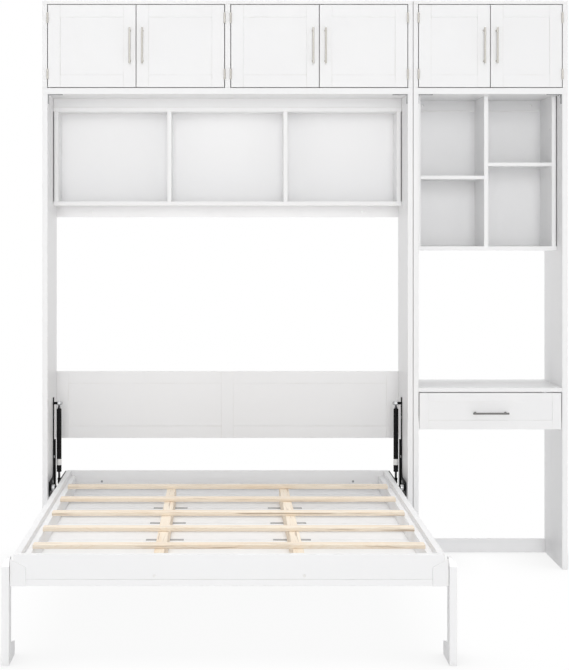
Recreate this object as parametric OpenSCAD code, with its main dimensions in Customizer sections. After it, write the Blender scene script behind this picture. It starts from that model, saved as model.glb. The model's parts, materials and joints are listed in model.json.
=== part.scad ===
// Full-size wall bed between storage units, with a fixed desk beside it.
// The bed frame is drawn folded down, its two legs standing on the floor.
// Millimetres. X runs to the right, Y towards the wall and Z up. The origin
// is on the floor, under the centre of the whole object's box.

/* [Bed frame] */
// Length of the folding bed frame
bed_l = 1950; // [1900:10:2030]
// Clear width inside the bed frame, for a full-size mattress
bed_inner_w = 1380; // [1300:10:1440]
// Height of the frame's underside above the floor
face_z = 262; // [255:1:290]
// Thickness of the face boards that close the cabinet when the bed is up
face_t = 22; // [18:1:26]
// Width of one face board across the bed
face_board_w = 357; // [300:1:380]
// Joint between two face boards
face_seam = 6; // [1:0.5:8]
// Height of the rails above the face boards
rail_h = 83; // [78:1:100]
// Thickness of the rails
rail_t = 22; // [18:1:26]
// Gap between the bed frame and each side panel
bay_gap = 48; // [46:1:60]

/* [Slats] */
// Number of slats
slat_count = 5; // [4:1:7]
// Width of a slat
slat_w = 50; // [40:1:70]
// Thickness of a slat
slat_t = 15; // [12:1:20]
// Distance from one slat to the next
slat_pitch = 333; // [240:1:335]
// Distance from the foot of the bed to the first slat's centre
slat_start = 235; // [120:5:260]
// How far a slat's top lies below the top of the rails
slat_drop = 6; // [4:1:20]
// Play between a slat's end and the rail
slat_play = 18; // [6:1:20]
// Width of the cleats that carry the slat ends
cleat_w = 22; // [20:1:30]
// Width of the two bearers that run under the slats
bearer_w = 38; // [30:1:50]
// Distance of each bearer from the centre of the bed
bearer_x = 236; // [180:1:300]

/* [Legs] */
// Thickness of a leg
leg_t = 25; // [18:1:26]
// Depth of a leg, along the bed
leg_d = 60; // [58:1:90]
// Play between a leg and the side rail
leg_play = 14; // [8:0.5:15]
// How far a leg's top lies below the top of the rails
leg_top_drop = 15; // [10:1:20]
// Size of the chamfer at the front of a leg's top
leg_chamfer = 26; // [15:1:40]
// Size of the corner cut off at the outside of a leg's top
leg_corner = 16; // [6:1:20]
// Length of the toe at the bottom of a leg
toe_l = 160; // [110:5:170]
// Height of the toe beside the leg
toe_h = 65; // [50:1:80]
// Height of the toe at its end
toe_end_h = 46; // [30:1:60]
// Distance of the leg hinge from the foot of the bed
leg_hinge_in = 46; // [40:1:48]
// Distance of the leg hinge below the top of the rails
leg_hinge_drop = 51; // [50:1:56]
// Radius of the leg hinge bolt
leg_bolt_r = 6; // [4:0.5:8]

/* [Corner blocks] */
// Width of the corner blocks on the foot rail
block_w = 41; // [30:1:60]
// How far a corner block stands out from the foot rail
block_t = 7; // [4:1:10]
// Height of the cut-off top corner of a block
block_slope = 28; // [15:1:45]

/* [Lift fittings] */
// Height of the bed pivot above the frame's underside
pivot_up = 73; // [68:1:80]
// Distance from the pivot to the head end of the bed
pivot_head = 290; // [275:5:295]
// How far the raised bed stays behind the front of the cabinet
fold_inset = 2; // [1:0.5:5]
// Radius of the pivot pin
pivot_r = 8; // [6:0.5:10]
// Radial play in the pivots
pivot_play = 0.06; // [0.03:0.01:0.1]
// Thickness of the steel lift plates
plate_t = 4; // [3:0.5:6]
// Thickness of the steel arms on the bed
arm_t = 5; // [4:0.5:6]
// Distance from a side panel to the strut's axis
strut_x = 26; // [25:0.5:29]
// Distance of the strut's top pin behind the bed pivot
strut_back = 160; // [145:5:170]
// Height of the strut's top pin above the bed pivot
strut_up = 343; // [340:1:360]
// Distance of the strut's lower stud behind the bed pivot
stud_back = 165; // [150:5:180]
// Radius of the strut cylinder
strut_r = 10.5; // [9:0.5:11]
// Length of the strut cylinder
strut_l = 278; // [255:1:282]
// Radius of the strut's rod
rod_r = 5; // [4:0.5:6]
// Radius of the pins that hold the strut
strut_pin_r = 5; // [4:0.5:6]
// Gap left between the strut's lower eye and its stud
stud_gap = 0.6; // [0.4:0.1:1.5]

/* [Cabinet] */
// Clear width of the desk bay
desk_w = 606; // [520:1:700]
// Depth of the cabinet
cab_d = 400; // [390:5:440]
// Thickness of the side panels
panel_t = 22; // [18:1:26]
// Thickness of the shelves and dividers
board_t = 18; // [15:1:20]
// Thickness of the back panels
back_t = 5; // [3:0.5:8]
// Gap between the bed module and the desk module
module_gap = 2; // [1:0.5:5]
// Depth of the front board of each side panel
side_front_d = 240; // [230:5:250]
// Joint between the front and rear boards of a side panel
side_seam = 1.5; // [1:0.5:3]
// Room between the raised bed and the upper cabinets
top_gap = 12; // [8:1:30]
// Height of the rails at the floor
base_rail_h = 60; // [40:5:80]
// Height of the head panel's lower edge
head_panel_z = 508; // [480:5:560]
// Height of the head panel
head_panel_h = 296; // [250:5:330]
// Width of the head panel's frame
head_frame_w = 53; // [40:1:70]
// Depth of the recess in a framed panel
recess = 4; // [2:0.5:6]
// Height of the rail under the open shelf
apron_h = 50; // [40:1:70]

/* [Open shelf above the bed] */
// Clear height of the open shelf
cubby_h = 392; // [320:2:420]
// Number of compartments
cubby_count = 3; // [2:1:4]
// Height of the rail above the open shelf
header_h = 40; // [30:1:60]
// Gap beside the uprights of the open units
unit_gap = 4; // [2:0.5:6]

/* [Upper cabinets] */
// Height of the upper cabinets
upper_h = 395; // [330:5:450]
// Thickness of their side boards
upper_side_t = 20; // [16:1:24]
// Thickness of the wide cabinet's centre divider
upper_mid_t = 23; // [22:1:28]
// Thickness of their bottom boards
upper_bottom_t = 26; // [18:1:30]
// Thickness of their top boards
upper_top_t = 15; // [12:1:22]

/* [Doors] */
// Thickness of a door
door_t = 18; // [16:1:22]
// Gap round the doors
door_gap = 3; // [2:0.5:3.5]
// Width of a door's frame
door_frame_w = 52; // [40:1:65]
// Length of a hinge
hinge_l = 44; // [30:2:60]
// Distance from a door's end to a hinge's centre
hinge_in = 55; // [40:5:90]
// Radius of a hinge's knuckle
knuckle_r = 4; // [3:0.1:4.5]
// Depth of a hinge leaf, in the gap beside the door
hinge_leaf_w = 14; // [9:0.5:15]

/* [Handles] */
// Length of a bar handle
handle_l = 152; // [120:2:170]
// Radius of the bar
handle_r = 4; // [3:0.5:7]
// Distance between a handle's posts
handle_cc = 128; // [96:2:128]
// Radius of a post
post_r = 3.5; // [2.5:0.5:5]
// Gap for the fingers behind the bar
finger_gap = 24; // [20:1:30]
// Distance from a door's free edge to its handle
handle_in = 25; // [20:1:40]

/* [Shelf unit above the desk] */
// How far the unit stands behind the front of the cabinet
hutch_back_set = 115; // [60:5:150]
// Height of the unit's bottom board above the floor
hutch_z = 1345; // [1250:5:1400]
// Height of the left shelf above the bottom board
left_shelf_up = 288; // [200:4:360]
// Height of the right shelf above the bottom board
right_shelf_up = 344; // [200:4:360]
// Thickness of the two shelves
shelf_t = 15; // [12:1:18]
// Height of the rail at the top of the unit's back
hutch_rail_h = 46; // [30:1:60]

/* [Desk] */
// Height of the desk's top face
desk_z = 767; // [720:1:780]
// Thickness of the desk top
desk_t = 18; // [15:1:25]
// Height of the drawer front
drawer_h = 154; // [110:2:180]
// Gap round the drawer front
drawer_gap = 3.5; // [2:0.5:4]
// Thickness of the drawer front
drawer_front_t = 18; // [15:1:22]
// Width of the frame on the drawer front
drawer_frame_w = 38; // [25:1:45]
// How far the drawer's handle lies below the middle of its front
drawer_handle_drop = 8; // [0:1:15]
// Depth of the drawer box
drawer_d = 340; // [260:5:350]
// Height of the drawer box
drawer_box_h = 100; // [70:5:100]
// Thickness of the drawer box's walls
drawer_wall_t = 12; // [10:1:15]
// Thickness of the drawer bottom
drawer_bottom_t = 6; // [4:1:9]
// Width of a drawer runner
runner_w = 12; // [10:1:16]
// Height of a drawer runner
runner_h = 40; // [30:1:45]
// Play beside the drawer box
runner_play = 0.7; // [0.5:0.1:1.5]

/* [Wall fixing] */
// Radius of the wall screw holes
wall_hole_r = 3; // [2.5:0.5:4]
// Distance between the two wall screws of the bed module
bed_wall_pitch = 1200; // [800:10:1300]
// Distance between the two wall screws of the desk module
desk_wall_pitch = 480; // [300:10:490]

/* [Hidden] */
$fn = 32;

// Colours
white = [0.93, 0.93, 0.94];
white_inside = [0.89, 0.89, 0.90];
pine = [0.93, 0.82, 0.66];
black_steel = [0.08, 0.08, 0.08];
nickel = [0.70, 0.68, 0.65];
zinc = [0.80, 0.81, 0.82];

// Room that pieces on different bodies keep between them
clearance = 0.5;

// Bed module and desk module across the object
bay_w = bed_inner_w + 2 * (rail_t + bay_gap);
bed_w = bed_inner_w + 2 * rail_t;
wide_w = bay_w + 2 * panel_t;
narrow_w = desk_w + 2 * panel_t;
total_w = wide_w + module_gap + narrow_w;
wide_x = [-total_w / 2, -total_w / 2 + wide_w];
narrow_x = [total_w / 2 - narrow_w, total_w / 2];
bay_x = [wide_x[0] + panel_t, wide_x[1] - panel_t];
desk_x = [narrow_x[0] + panel_t, narrow_x[1] - panel_t];
bay_mid = (bay_x[0] + bay_x[1]) / 2;
desk_mid = (desk_x[0] + desk_x[1]) / 2;
bed_x = [bay_mid - bed_w / 2, bay_mid + bed_w / 2];

// Front and back of the cabinet, and the two ends of the bed
pivot_in = pivot_up + fold_inset;
reach = bed_l - pivot_head - pivot_in;
total_d = cab_d + reach;
back_y = total_d / 2;
front_y = back_y - cab_d;
foot_y = -back_y;
head_y = foot_y + bed_l;
foot_rail_y = foot_y + block_t;

// Heights of the bed
pivot_y = front_y + pivot_in;
pivot_z = face_z + pivot_up;
rail_z = face_z + face_t;
rail_top = rail_z + rail_h;
slat_top = rail_top - slat_drop;
slat_z = slat_top - slat_t;
function slat_y(i) = foot_y + slat_start + i * slat_pitch;

// Heights of the cabinet
side_h = pivot_z + bed_l - pivot_head + top_gap;
total_h = side_h + upper_h;
seam_y = front_y + side_front_d;
rear_y = seam_y + side_seam;
cubby_top_z = side_h - header_h - board_t;
cubby_z = cubby_top_z - cubby_h - board_t;
rail_board_y = back_y - board_t;

// Upper cabinets and their doors
upper_inner_z = [side_h + upper_bottom_t, total_h - upper_top_t];
door_z = [upper_inner_z[0] + door_gap, upper_inner_z[1] - door_gap];
wide_opening = (wide_w - 2 * upper_side_t - upper_mid_t) / 2;
narrow_opening = narrow_w - 2 * upper_side_t;
opening_x = [
    wide_x[0] + upper_side_t,
    wide_x[1] - upper_side_t - wide_opening,
    narrow_x[0] + upper_side_t
];
opening_w = [wide_opening, wide_opening, narrow_opening];
function leaf_w(i) = (opening_w[floor(i / 2)] - 3 * door_gap) / 2;
function leaf_x(i) = opening_x[floor(i / 2)] + door_gap + (i % 2) * (leaf_w(i) + door_gap);
// The first door of each pair hangs at its left edge, the second at its right
function hinged_left(i) = i % 2 == 0;
function hinge_x(i) = hinged_left(i) ? leaf_x(i) - door_gap / 2 : leaf_x(i) + leaf_w(i) + door_gap / 2;
function handle_x(i) = hinged_left(i) ? leaf_x(i) + leaf_w(i) - handle_in : leaf_x(i) + handle_in;
hinge_stand = 0.3;
hinge_out = knuckle_r + hinge_stand;
hinge_leaf_t = 0.4 * door_gap;
hinge_pin_r = knuckle_r / 2;
hinge_play = 0.08;
hinge_zs = [door_z[0] + hinge_in, door_z[1] - hinge_in];
door_mid_z = (door_z[0] + door_z[1]) / 2;

// Shelf unit above the desk
hutch_y = front_y + hutch_back_set;
hutch_inner_z = hutch_z + board_t;
hutch_top_z = side_h - hutch_rail_h;
hutch_back_gap = 2;

// Desk and drawer
drawer_top = desk_z - desk_t - drawer_gap;
drawer_z = drawer_top - drawer_h;
drawer_x = [desk_x[0] + drawer_gap, desk_x[1] - drawer_gap];
drawer_box_y = front_y + drawer_front_t;
drawer_box_drop = 30;
drawer_box_z = drawer_top - drawer_box_drop - drawer_box_h;
drawer_box_x = [desk_x[0] + runner_w + runner_play, desk_x[1] - runner_w - runner_play];
runner_z = drawer_box_z + (drawer_box_h - runner_h) / 2;

// Legs
leg_hinge_y = foot_y + leg_hinge_in;
leg_hinge_z = rail_top - leg_hinge_drop;
leg_top = rail_top - leg_top_drop;

// Struts: the top pin and the stud, as Y and Z, the length from one to the
// other with the bed down, and the lean from upright
strut_pin = [pivot_y + strut_back, pivot_z + strut_up];
stud = [pivot_y + stud_back, pivot_z];
strut_closed = norm(stud - strut_pin);
strut_lean = atan2(stud[0] - strut_pin[0], strut_pin[1] - stud[1]);
eye_wall = 5;
stud_r = strut_pin_r + 1;
eye_r = strut_pin_r + eye_wall;
eye_t = 12;
nut_t = 6;
pin_end = 1;
boss_t = 6;
bush_wall = 1;
// From the top pin to the cylinder, the rod inside the cylinder with the
// strut closed, and the rod that shows below it
strut_neck = 22;
cylinder_cap = 15;
rod_l = strut_l - cylinder_cap;
rod_out = strut_closed - strut_neck - strut_l;
rod_end = 9;

// A block between two corners, given as ranges along X, Y and Z
module block(x, y, z) {
    translate([x[0], y[0], z[0]]) cube([x[1] - x[0], y[1] - y[0], z[1] - z[0]]);
}

// Puts a shape drawn beside the bed bay's left panel, x = 0 on the panel's
// inner face, at the left panel or, mirrored, at the right one
module at_bay_side(right) {
    translate([right ? bay_x[1] : bay_x[0], 0, 0]) mirror([right ? 1 : 0, 0, 0]) children();
}

// A plate with its outline in the Y-Z plane and its thickness along X
module side_plate(x, outline) {
    translate([x[0], 0, 0])
        rotate([90, 0, 90]) linear_extrude(x[1] - x[0]) polygon(outline);
}

// A round bar along X, from one x to another
module x_bar(x, at, r) {
    translate([x[0], at[0], at[1]]) rotate([0, 90, 0]) cylinder(h = x[1] - x[0], r = r);
}

// A framed panel: a board with a shallow recess inside its frame. The face
// looks along -Y.
module framed_board(x, y, z, frame_w) {
    difference() {
        block(x, y, z);
        block([x[0] + frame_w, x[1] - frame_w], [y[0] - 1, y[0] + recess],
              [z[0] + frame_w, z[1] - frame_w]);
    }
}

// A side panel made of a front board and a rear board
module side_panel(x) {
    color(white) {
        block(x, [front_y, seam_y], [0, side_h]);
        block(x, [rear_y, back_y], [0, side_h]);
    }
}

module bed_side_left() side_panel([wide_x[0], bay_x[0]]);
module bed_side_right() side_panel([bay_x[1], wide_x[1]]);
module desk_side_left() side_panel([narrow_x[0], desk_x[0]]);
module desk_side_right() side_panel([desk_x[1], narrow_x[1]]);

// Floor rails at the back of both bays
module base_rails() {
    color(white)
        for (bay = [bay_x, desk_x]) block(bay, [rail_board_y, back_y], [0, base_rail_h]);
}

// Panel behind the head of the bed, in a frame with a centre stile
module head_panel() {
    field_w = (bay_w - 3 * head_frame_w) / 2;
    z = [head_panel_z, head_panel_z + head_panel_h];
    color(white)
        difference() {
            block(bay_x, [rail_board_y, back_y], z);
            for (i = [0, 1]) {
                x = bay_x[0] + head_frame_w + i * (field_w + head_frame_w);
                block([x, x + field_w], [rail_board_y - 1, rail_board_y + recess],
                      [z[0] + head_frame_w, z[1] - head_frame_w]);
            }
        }
}

// Two holes for wall screws, in line, along Y
module wall_holes(mid, pitch, z) {
    for (side = [-1, 1])
        translate([mid + side * pitch / 2, rail_board_y - 1, z])
            rotate([-90, 0, 0]) cylinder(h = board_t + 2, r = wall_hole_r);
}

// Rail under the open shelf, at the back, which also takes two wall screws
module apron_rail() {
    color(white)
        difference() {
            block(bay_x, [rail_board_y, back_y], [cubby_z - apron_h, cubby_z]);
            wall_holes(bay_mid, bed_wall_pitch, cubby_z - apron_h / 2);
        }
}

module header_rail() {
    color(white) block(bay_x, [rear_y, rear_y + board_t], [side_h - header_h, side_h]);
}

// Open shelf above the bed
module cubby_top() {
    color(white_inside) block(bay_x, [rear_y, back_y], [cubby_top_z, cubby_top_z + board_t]);
}

module cubby_bottom() {
    color(white_inside) block(bay_x, [rear_y, back_y], [cubby_z, cubby_z + board_t]);
}

module cubby_uprights() {
    z = [cubby_z + board_t, cubby_top_z];
    y = [rear_y, back_y - back_t];
    ends = [bay_x[0] + unit_gap, bay_x[1] - unit_gap];
    pitch = bay_w / cubby_count;
    color(white_inside) {
        block([ends[0], ends[0] + board_t], y, z);
        block([ends[1] - board_t, ends[1]], y, z);
        for (i = [1 : cubby_count - 1])
            block([bay_x[0] + i * pitch - board_t / 2, bay_x[0] + i * pitch + board_t / 2], y, z);
    }
}

module cubby_back() {
    color(white_inside)
        block([bay_x[0] + unit_gap, bay_x[1] - unit_gap], [back_y - back_t, back_y],
              [cubby_z + board_t, cubby_top_z]);
}

// Top and bottom boards of an upper cabinet
module cabinet_boards(x) {
    color(white) {
        block(x, [front_y, back_y], [side_h, upper_inner_z[0]]);
        block(x, [front_y, back_y], [upper_inner_z[1], total_h]);
    }
}

// Upright boards of an upper cabinet, at its ends
module cabinet_ends(x) {
    color(white) {
        block([x[0], x[0] + upper_side_t], [front_y, back_y], upper_inner_z);
        block([x[1] - upper_side_t, x[1]], [front_y, back_y], upper_inner_z);
    }
}

module cabinet_back(x) {
    color(white_inside) block(x, [back_y - back_t, back_y], upper_inner_z);
}

module wide_cabinet_boards() cabinet_boards(wide_x);

module wide_cabinet_uprights() {
    mid = (wide_x[0] + wide_x[1]) / 2;
    cabinet_ends(wide_x);
    color(white) block([mid - upper_mid_t / 2, mid + upper_mid_t / 2], [front_y, back_y], upper_inner_z);
}

module wide_cabinet_back() {
    for (i = [0, 1]) cabinet_back([opening_x[i], opening_x[i] + opening_w[i]]);
}

module narrow_cabinet_boards() cabinet_boards(narrow_x);
module narrow_cabinet_sides() cabinet_ends(narrow_x);
module narrow_cabinet_back() cabinet_back([opening_x[2], opening_x[2] + opening_w[2]]);

// Shelf unit above the desk
module hutch_bottom() {
    color(white_inside) block(desk_x, [hutch_y, back_y], [hutch_z, hutch_inner_z]);
}

module hutch_uprights() {
    y = [hutch_y, rail_board_y];
    z = [hutch_inner_z, side_h];
    ends = [desk_x[0] + unit_gap, desk_x[1] - unit_gap];
    color(white_inside) {
        block([ends[0], ends[0] + board_t], y, z);
        block([ends[1] - board_t, ends[1]], y, z);
        block([desk_mid - board_t / 2, desk_mid + board_t / 2], y, z);
    }
}

module hutch_shelves() {
    y = [hutch_y, rail_board_y];
    left = [desk_x[0] + unit_gap + board_t, desk_mid - board_t / 2];
    right = [desk_mid + board_t / 2, desk_x[1] - unit_gap - board_t];
    color(white_inside) {
        block(left, y, [hutch_inner_z + left_shelf_up, hutch_inner_z + left_shelf_up + shelf_t]);
        block(right, y, [hutch_inner_z + right_shelf_up, hutch_inner_z + right_shelf_up + shelf_t]);
    }
}

// Back panel of the shelf unit and the rail above it, which takes two wall screws
module hutch_back() {
    color(white_inside) {
        block(desk_x, [rail_board_y, back_y], [hutch_inner_z, hutch_top_z - hutch_back_gap]);
        difference() {
            block(desk_x, [rail_board_y, back_y], [hutch_top_z, side_h]);
            wall_holes(desk_mid, desk_wall_pitch, hutch_top_z + hutch_rail_h / 2);
        }
    }
}

// Desk
module desk_top() {
    color(white) block(desk_x, [front_y, back_y], [desk_z - desk_t, desk_z]);
}

module drawer_runners() {
    y = [drawer_box_y, drawer_box_y + drawer_d];
    z = [runner_z, runner_z + runner_h];
    color(zinc) {
        block([desk_x[0], desk_x[0] + runner_w], y, z);
        block([desk_x[1] - runner_w, desk_x[1]], y, z);
    }
}

module drawer_front() {
    color(white) framed_board(drawer_x, [front_y, drawer_box_y], [drawer_z, drawer_top], drawer_frame_w);
}

// Open-topped drawer box
module drawer_box() {
    y = [drawer_box_y, drawer_box_y + drawer_d];
    z = [drawer_box_z, drawer_box_z + drawer_box_h];
    color(white_inside)
        difference() {
            block(drawer_box_x, y, z);
            block([drawer_box_x[0] + drawer_wall_t, drawer_box_x[1] - drawer_wall_t],
                  [y[0] + drawer_wall_t, y[1] - drawer_wall_t], [z[0] + drawer_bottom_t, z[1] + 1]);
        }
}

// A bar handle on two posts, standing out along -Y from the origin, upright
module bar_handle() {
    out = finger_gap + handle_r;
    translate([0, -out, -handle_l / 2]) cylinder(h = handle_l, r = handle_r);
    for (side = [-1, 1])
        translate([0, 0, side * handle_cc / 2]) rotate([90, 0, 0]) cylinder(h = out, r = post_r);
}

module drawer_handle() {
    color(nickel)
        translate([desk_mid, front_y + recess, (drawer_z + drawer_top) / 2 - drawer_handle_drop])
            rotate([0, 90, 0]) bar_handle();
}

// Doors
module door(i) {
    color(white)
        framed_board([leaf_x(i), leaf_x(i) + leaf_w(i)], [front_y, front_y + door_t], door_z, door_frame_w);
}

// A hinge leaf in the gap beside the door, on the right of the hinge axis,
// with the knuckles that belong to it. The axis is at the origin and the
// front of the wood at y = hinge_out.
module hinge_half(knuckles) {
    third = hinge_l / 3;
    x = [door_gap / 2 - hinge_leaf_t, door_gap / 2];
    block(x, [hinge_out, hinge_out + hinge_leaf_w], [-hinge_l / 2, hinge_l / 2]);
    for (k = knuckles) {
        z = [(k - 0.5) * third + clearance / 2, (k + 0.5) * third - clearance / 2];
        block(x, [0, hinge_out + clearance], z);
        translate([0, 0, z[0]]) cylinder(h = z[1] - z[0], r = knuckle_r);
    }
}

// The leaf on the cabinet carries the two outer knuckles and the pin
module cabinet_hinge_half() {
    hinge_half([-1, 1]);
    translate([0, 0, -hinge_l / 2]) cylinder(h = hinge_l, r = hinge_pin_r);
}

// The leaf on the door carries the middle knuckle, which turns on the pin
module door_hinge_half() {
    difference() {
        hinge_half([0]);
        translate([0, 0, -hinge_l / 2 - 1]) cylinder(h = hinge_l + 2, r = hinge_pin_r + hinge_play);
    }
}

module hinge_leaves() {
    color(nickel)
        for (i = [0 : 5]) for (z = hinge_zs)
            translate([hinge_x(i), front_y - hinge_out, z])
                mirror([hinged_left(i) ? 1 : 0, 0, 0]) cabinet_hinge_half();
}

module door_fittings(i) {
    color(nickel) {
        translate([handle_x(i), front_y, door_mid_z]) bar_handle();
        for (z = hinge_zs)
            translate([hinge_x(i), front_y - hinge_out, z])
                mirror([hinged_left(i) ? 0 : 1, 0, 0]) door_hinge_half();
    }
}

// Steel plate on a side panel, with the pivot pin and the strut's top pin: a
// foot round the pivot, a strip that rises from its end to the top pin, and
// a rib along the strip's lower part
module lift_plate() {
    strip_w = 26;
    strip = [strut_pin[0] - strip_w / 2, strut_pin[0] + strip_w / 2];
    base_y = [pivot_y - 25, strip[1]];
    base_z = [pivot_z - 35, pivot_z + 26];
    top = strut_pin[1] + strip_w;
    // Where the strip widens into the foot
    root = 18;
    rib_t = 5;
    rib_out = 11;
    rib_top = strut_pin[1] - 158;
    side_plate([0, plate_t], [
        [base_y[0], base_z[0]], [base_y[1], base_z[0]], [base_y[1], top], [strip[0], top],
        [strip[0], base_z[1] + root], [strip[0] - root, base_z[1]], [base_y[0], base_z[1]]
    ]);
    block([0, rib_out], [strip[1] - rib_t, strip[1]], [base_z[0], rib_top]);
    x_bar([0, bay_gap + rail_t / 2], [pivot_y, pivot_z], pivot_r);
    x_bar([0, plate_t + boss_t], [pivot_y, pivot_z], 2 * pivot_r);
    x_bar([0, strut_x + eye_t / 2 + clearance + nut_t + pin_end], strut_pin, strut_pin_r);
    x_bar([0, strut_x - eye_t / 2 - clearance], strut_pin, strut_pin_r + bush_wall);
}

module lift_plates() {
    color(black_steel) for (right = [false, true]) at_bay_side(right) lift_plate();
}

// Nuts on the struts' top pins and collars on the pivot pins
module strut_nuts() {
    nut_x = strut_x + eye_t / 2 + clearance;
    nut_r = strut_pin_r + 3;
    collar_r = 1.6 * pivot_r;
    collar_t = 12;
    collar_x = [plate_t + boss_t + clearance, plate_t + boss_t + clearance + collar_t];
    color(zinc)
        for (right = [false, true]) at_bay_side(right) {
            difference() {
                translate([nut_x, strut_pin[0], strut_pin[1]])
                    rotate([0, 90, 0]) cylinder(h = nut_t, r = nut_r, $fn = 6);
                x_bar([nut_x - 1, nut_x + nut_t + 1], strut_pin, strut_pin_r);
            }
            difference() {
                x_bar(collar_x, [pivot_y, pivot_z], collar_r);
                x_bar([collar_x[0] - 1, collar_x[1] + 1], [pivot_y, pivot_z], pivot_r);
            }
        }
}

// Steel L-brackets under the upper cabinets, at the front corners
module corner_bracket() {
    arm = 62;
    drop = 40;
    t = 2.5;
    inset = 8;
    w = 20;
    y = [front_y + inset, front_y + inset + w];
    block([0, arm], y, [side_h - t, side_h]);
    block([0, t], y, [side_h - drop, side_h]);
}

module corner_brackets() {
    color(zinc) {
        for (right = [false, true]) at_bay_side(right) corner_bracket();
        translate([desk_x[0], 0, 0]) corner_bracket();
        translate([desk_x[1], 0, 0]) mirror([1, 0, 0]) corner_bracket();
    }
}

// Screw heads on the lift plates and cover caps in the shelf unit
module screws() {
    head_r = 6;
    head_t = 2.5;
    cap_r = 5;
    cap_t = 1.5;
    // Plate screws, as Y and Z from the bed pivot: two in the foot, two in the strip
    foot_screws = [[45, -16], [110, 8]];
    strip_screws = [[strut_back - 4, 110], [strut_back, strut_up - 60]];
    // Caps: the lower one's height over the bottom board, the upper one's drop
    // from the top, and their distance from the upright's front edge
    cap_up = 87;
    cap_drop = 141;
    cap_in = 40;
    color(zinc)
        for (right = [false, true]) at_bay_side(right)
            for (at = concat(foot_screws, strip_screws))
                x_bar([plate_t, plate_t + head_t], [pivot_y + at[0], pivot_z + at[1]], head_r);
    color(white)
        for (z = [hutch_inner_z + cap_up, side_h - cap_drop])
            x_bar([desk_x[1] - unit_gap - board_t - cap_t, desk_x[1] - unit_gap - board_t],
                  [hutch_y + cap_in, z], cap_r);
}

// Bed frame
module bed_side_rails() {
    y = [foot_rail_y + rail_t, head_y - rail_t];
    color(white)
        for (right = [false, true]) at_bay_side(right)
            difference() {
                block([bay_gap, bay_gap + rail_t], y, [rail_z, rail_top]);
                x_bar([bay_gap - 1, bay_gap + rail_t + 1], [pivot_y, pivot_z], pivot_r + pivot_play);
            }
}

module bed_head_rail() {
    color(white) block(bed_x, [head_y - rail_t, head_y], [rail_z, rail_top]);
}

module bed_foot_rail() {
    color(white) block(bed_x, [foot_rail_y, foot_rail_y + rail_t], [rail_z, rail_top]);
}

// Boards on the underside, which form the cabinet's face with the bed up
module bed_face_boards() {
    count = ceil((head_y - foot_rail_y) / face_board_w);
    color(white)
        for (i = [0 : count - 1]) {
            y = foot_rail_y + i * face_board_w;
            block(bed_x, [y, min(y + face_board_w - face_seam, head_y)], [face_z, rail_z]);
        }
}

module slats() {
    color(pine)
        for (i = [0 : slat_count - 1])
            block([bed_x[0] + rail_t + slat_play, bed_x[1] - rail_t - slat_play],
                  [slat_y(i) - slat_w / 2, slat_y(i) + slat_w / 2], [slat_z, slat_top]);
}

// Bearers under the slats, from the foot rail to the last slat
module slat_bearers() {
    y = [foot_rail_y + rail_t, slat_y(slat_count - 1) + slat_w / 2];
    color(pine)
        for (side = [-1, 1])
            block([bay_mid + side * bearer_x - bearer_w / 2, bay_mid + side * bearer_x + bearer_w / 2],
                  y, [rail_z, slat_z]);
}

module slat_cleats() {
    color(white)
        for (right = [false, true]) at_bay_side(right)
            block([bay_gap + rail_t, bay_gap + rail_t + cleat_w],
                  [foot_rail_y + rail_t, head_y - rail_t], [rail_z, slat_z]);
}

// Block at each front corner, which reaches past the rail almost to the leg:
// its face slopes back to the leg, and its top falls towards the middle of the
// bed
module corner_blocks() {
    thin = 2;
    past = leg_play - 2;
    top = rail_top - leg_top_drop;
    color(white)
        for (right = [false, true]) at_bay_side(right)
            intersection() {
                translate([bay_gap, 0, face_z])
                    linear_extrude(top - face_z)
                        polygon([[-past, foot_rail_y], [-past, foot_rail_y - thin],
                                 [block_w, foot_y], [block_w, foot_rail_y]]);
                translate([bay_gap, foot_rail_y, 0])
                    rotate([90, 0, 0]) linear_extrude(block_t)
                        polygon([[-past, face_z], [block_w, face_z],
                                 [block_w, top - block_slope], [-past, top]]);
            }
}

// Steel arm on a side rail, which turns on the pivot pin and carries the
// strut's stud
module lift_arm() {
    x = [bay_gap - arm_t, bay_gap];
    y = [pivot_y - 45, head_y - 20];
    top = rail_top + 1;
    // Corners that are cut off: at the front top, and the slope under the arm
    cut = [35, 13];
    heel_l = 85;
    heel = [pivot_z - 30, pivot_z - 38, pivot_z - 2];
    outline = [
        [y[0], heel[0]], [y[0] + heel_l, heel[1]], [y[1], heel[2]],
        [y[1], top], [y[0] + cut[0], top], [y[0], top - cut[1]]
    ];
    difference() {
        side_plate(x, outline);
        x_bar([x[0] - 1, x[1] + 1], [pivot_y, pivot_z], pivot_r + pivot_play);
    }
    x_bar([strut_x + eye_t / 2 + stud_gap, x[1]], stud, stud_r);
}

module lift_arms() {
    color(black_steel) for (right = [false, true]) at_bay_side(right) lift_arm();
}

// Leg hinge bolts, screws in the head rail and cover caps in the foot rail
module bed_bolts() {
    cap_r = 5;
    cap_t = 1.5;
    leg_out = bay_gap - leg_play - leg_t;
    head_t = 2;
    // Screws and caps: distance from the bed's centre and height in the rail
    screw_in = 135;
    screw = [bed_inner_w / 2 - screw_in, 37];
    cap = [bearer_x + 12, 12];
    head_x = [leg_out - clearance - head_t, leg_out - clearance];
    at = [leg_hinge_y, leg_hinge_z];
    color(zinc) {
        for (right = [false, true]) at_bay_side(right) {
            x_bar([head_x[0], bay_gap + rail_t / 2], at, leg_bolt_r);
            x_bar(head_x, at, 2 * leg_bolt_r);
        }
        for (side = [-1, 1])
            translate([bay_mid + side * screw[0], head_y - rail_t, rail_z + screw[1]])
                rotate([90, 0, 0]) cylinder(h = cap_t, r = cap_r);
    }
    color(white)
        for (side = [-1, 1])
            translate([bay_mid + side * cap[0], foot_rail_y, rail_z + cap[1]])
                rotate([90, 0, 0]) cylinder(h = cap_t, r = cap_r);
}

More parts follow.
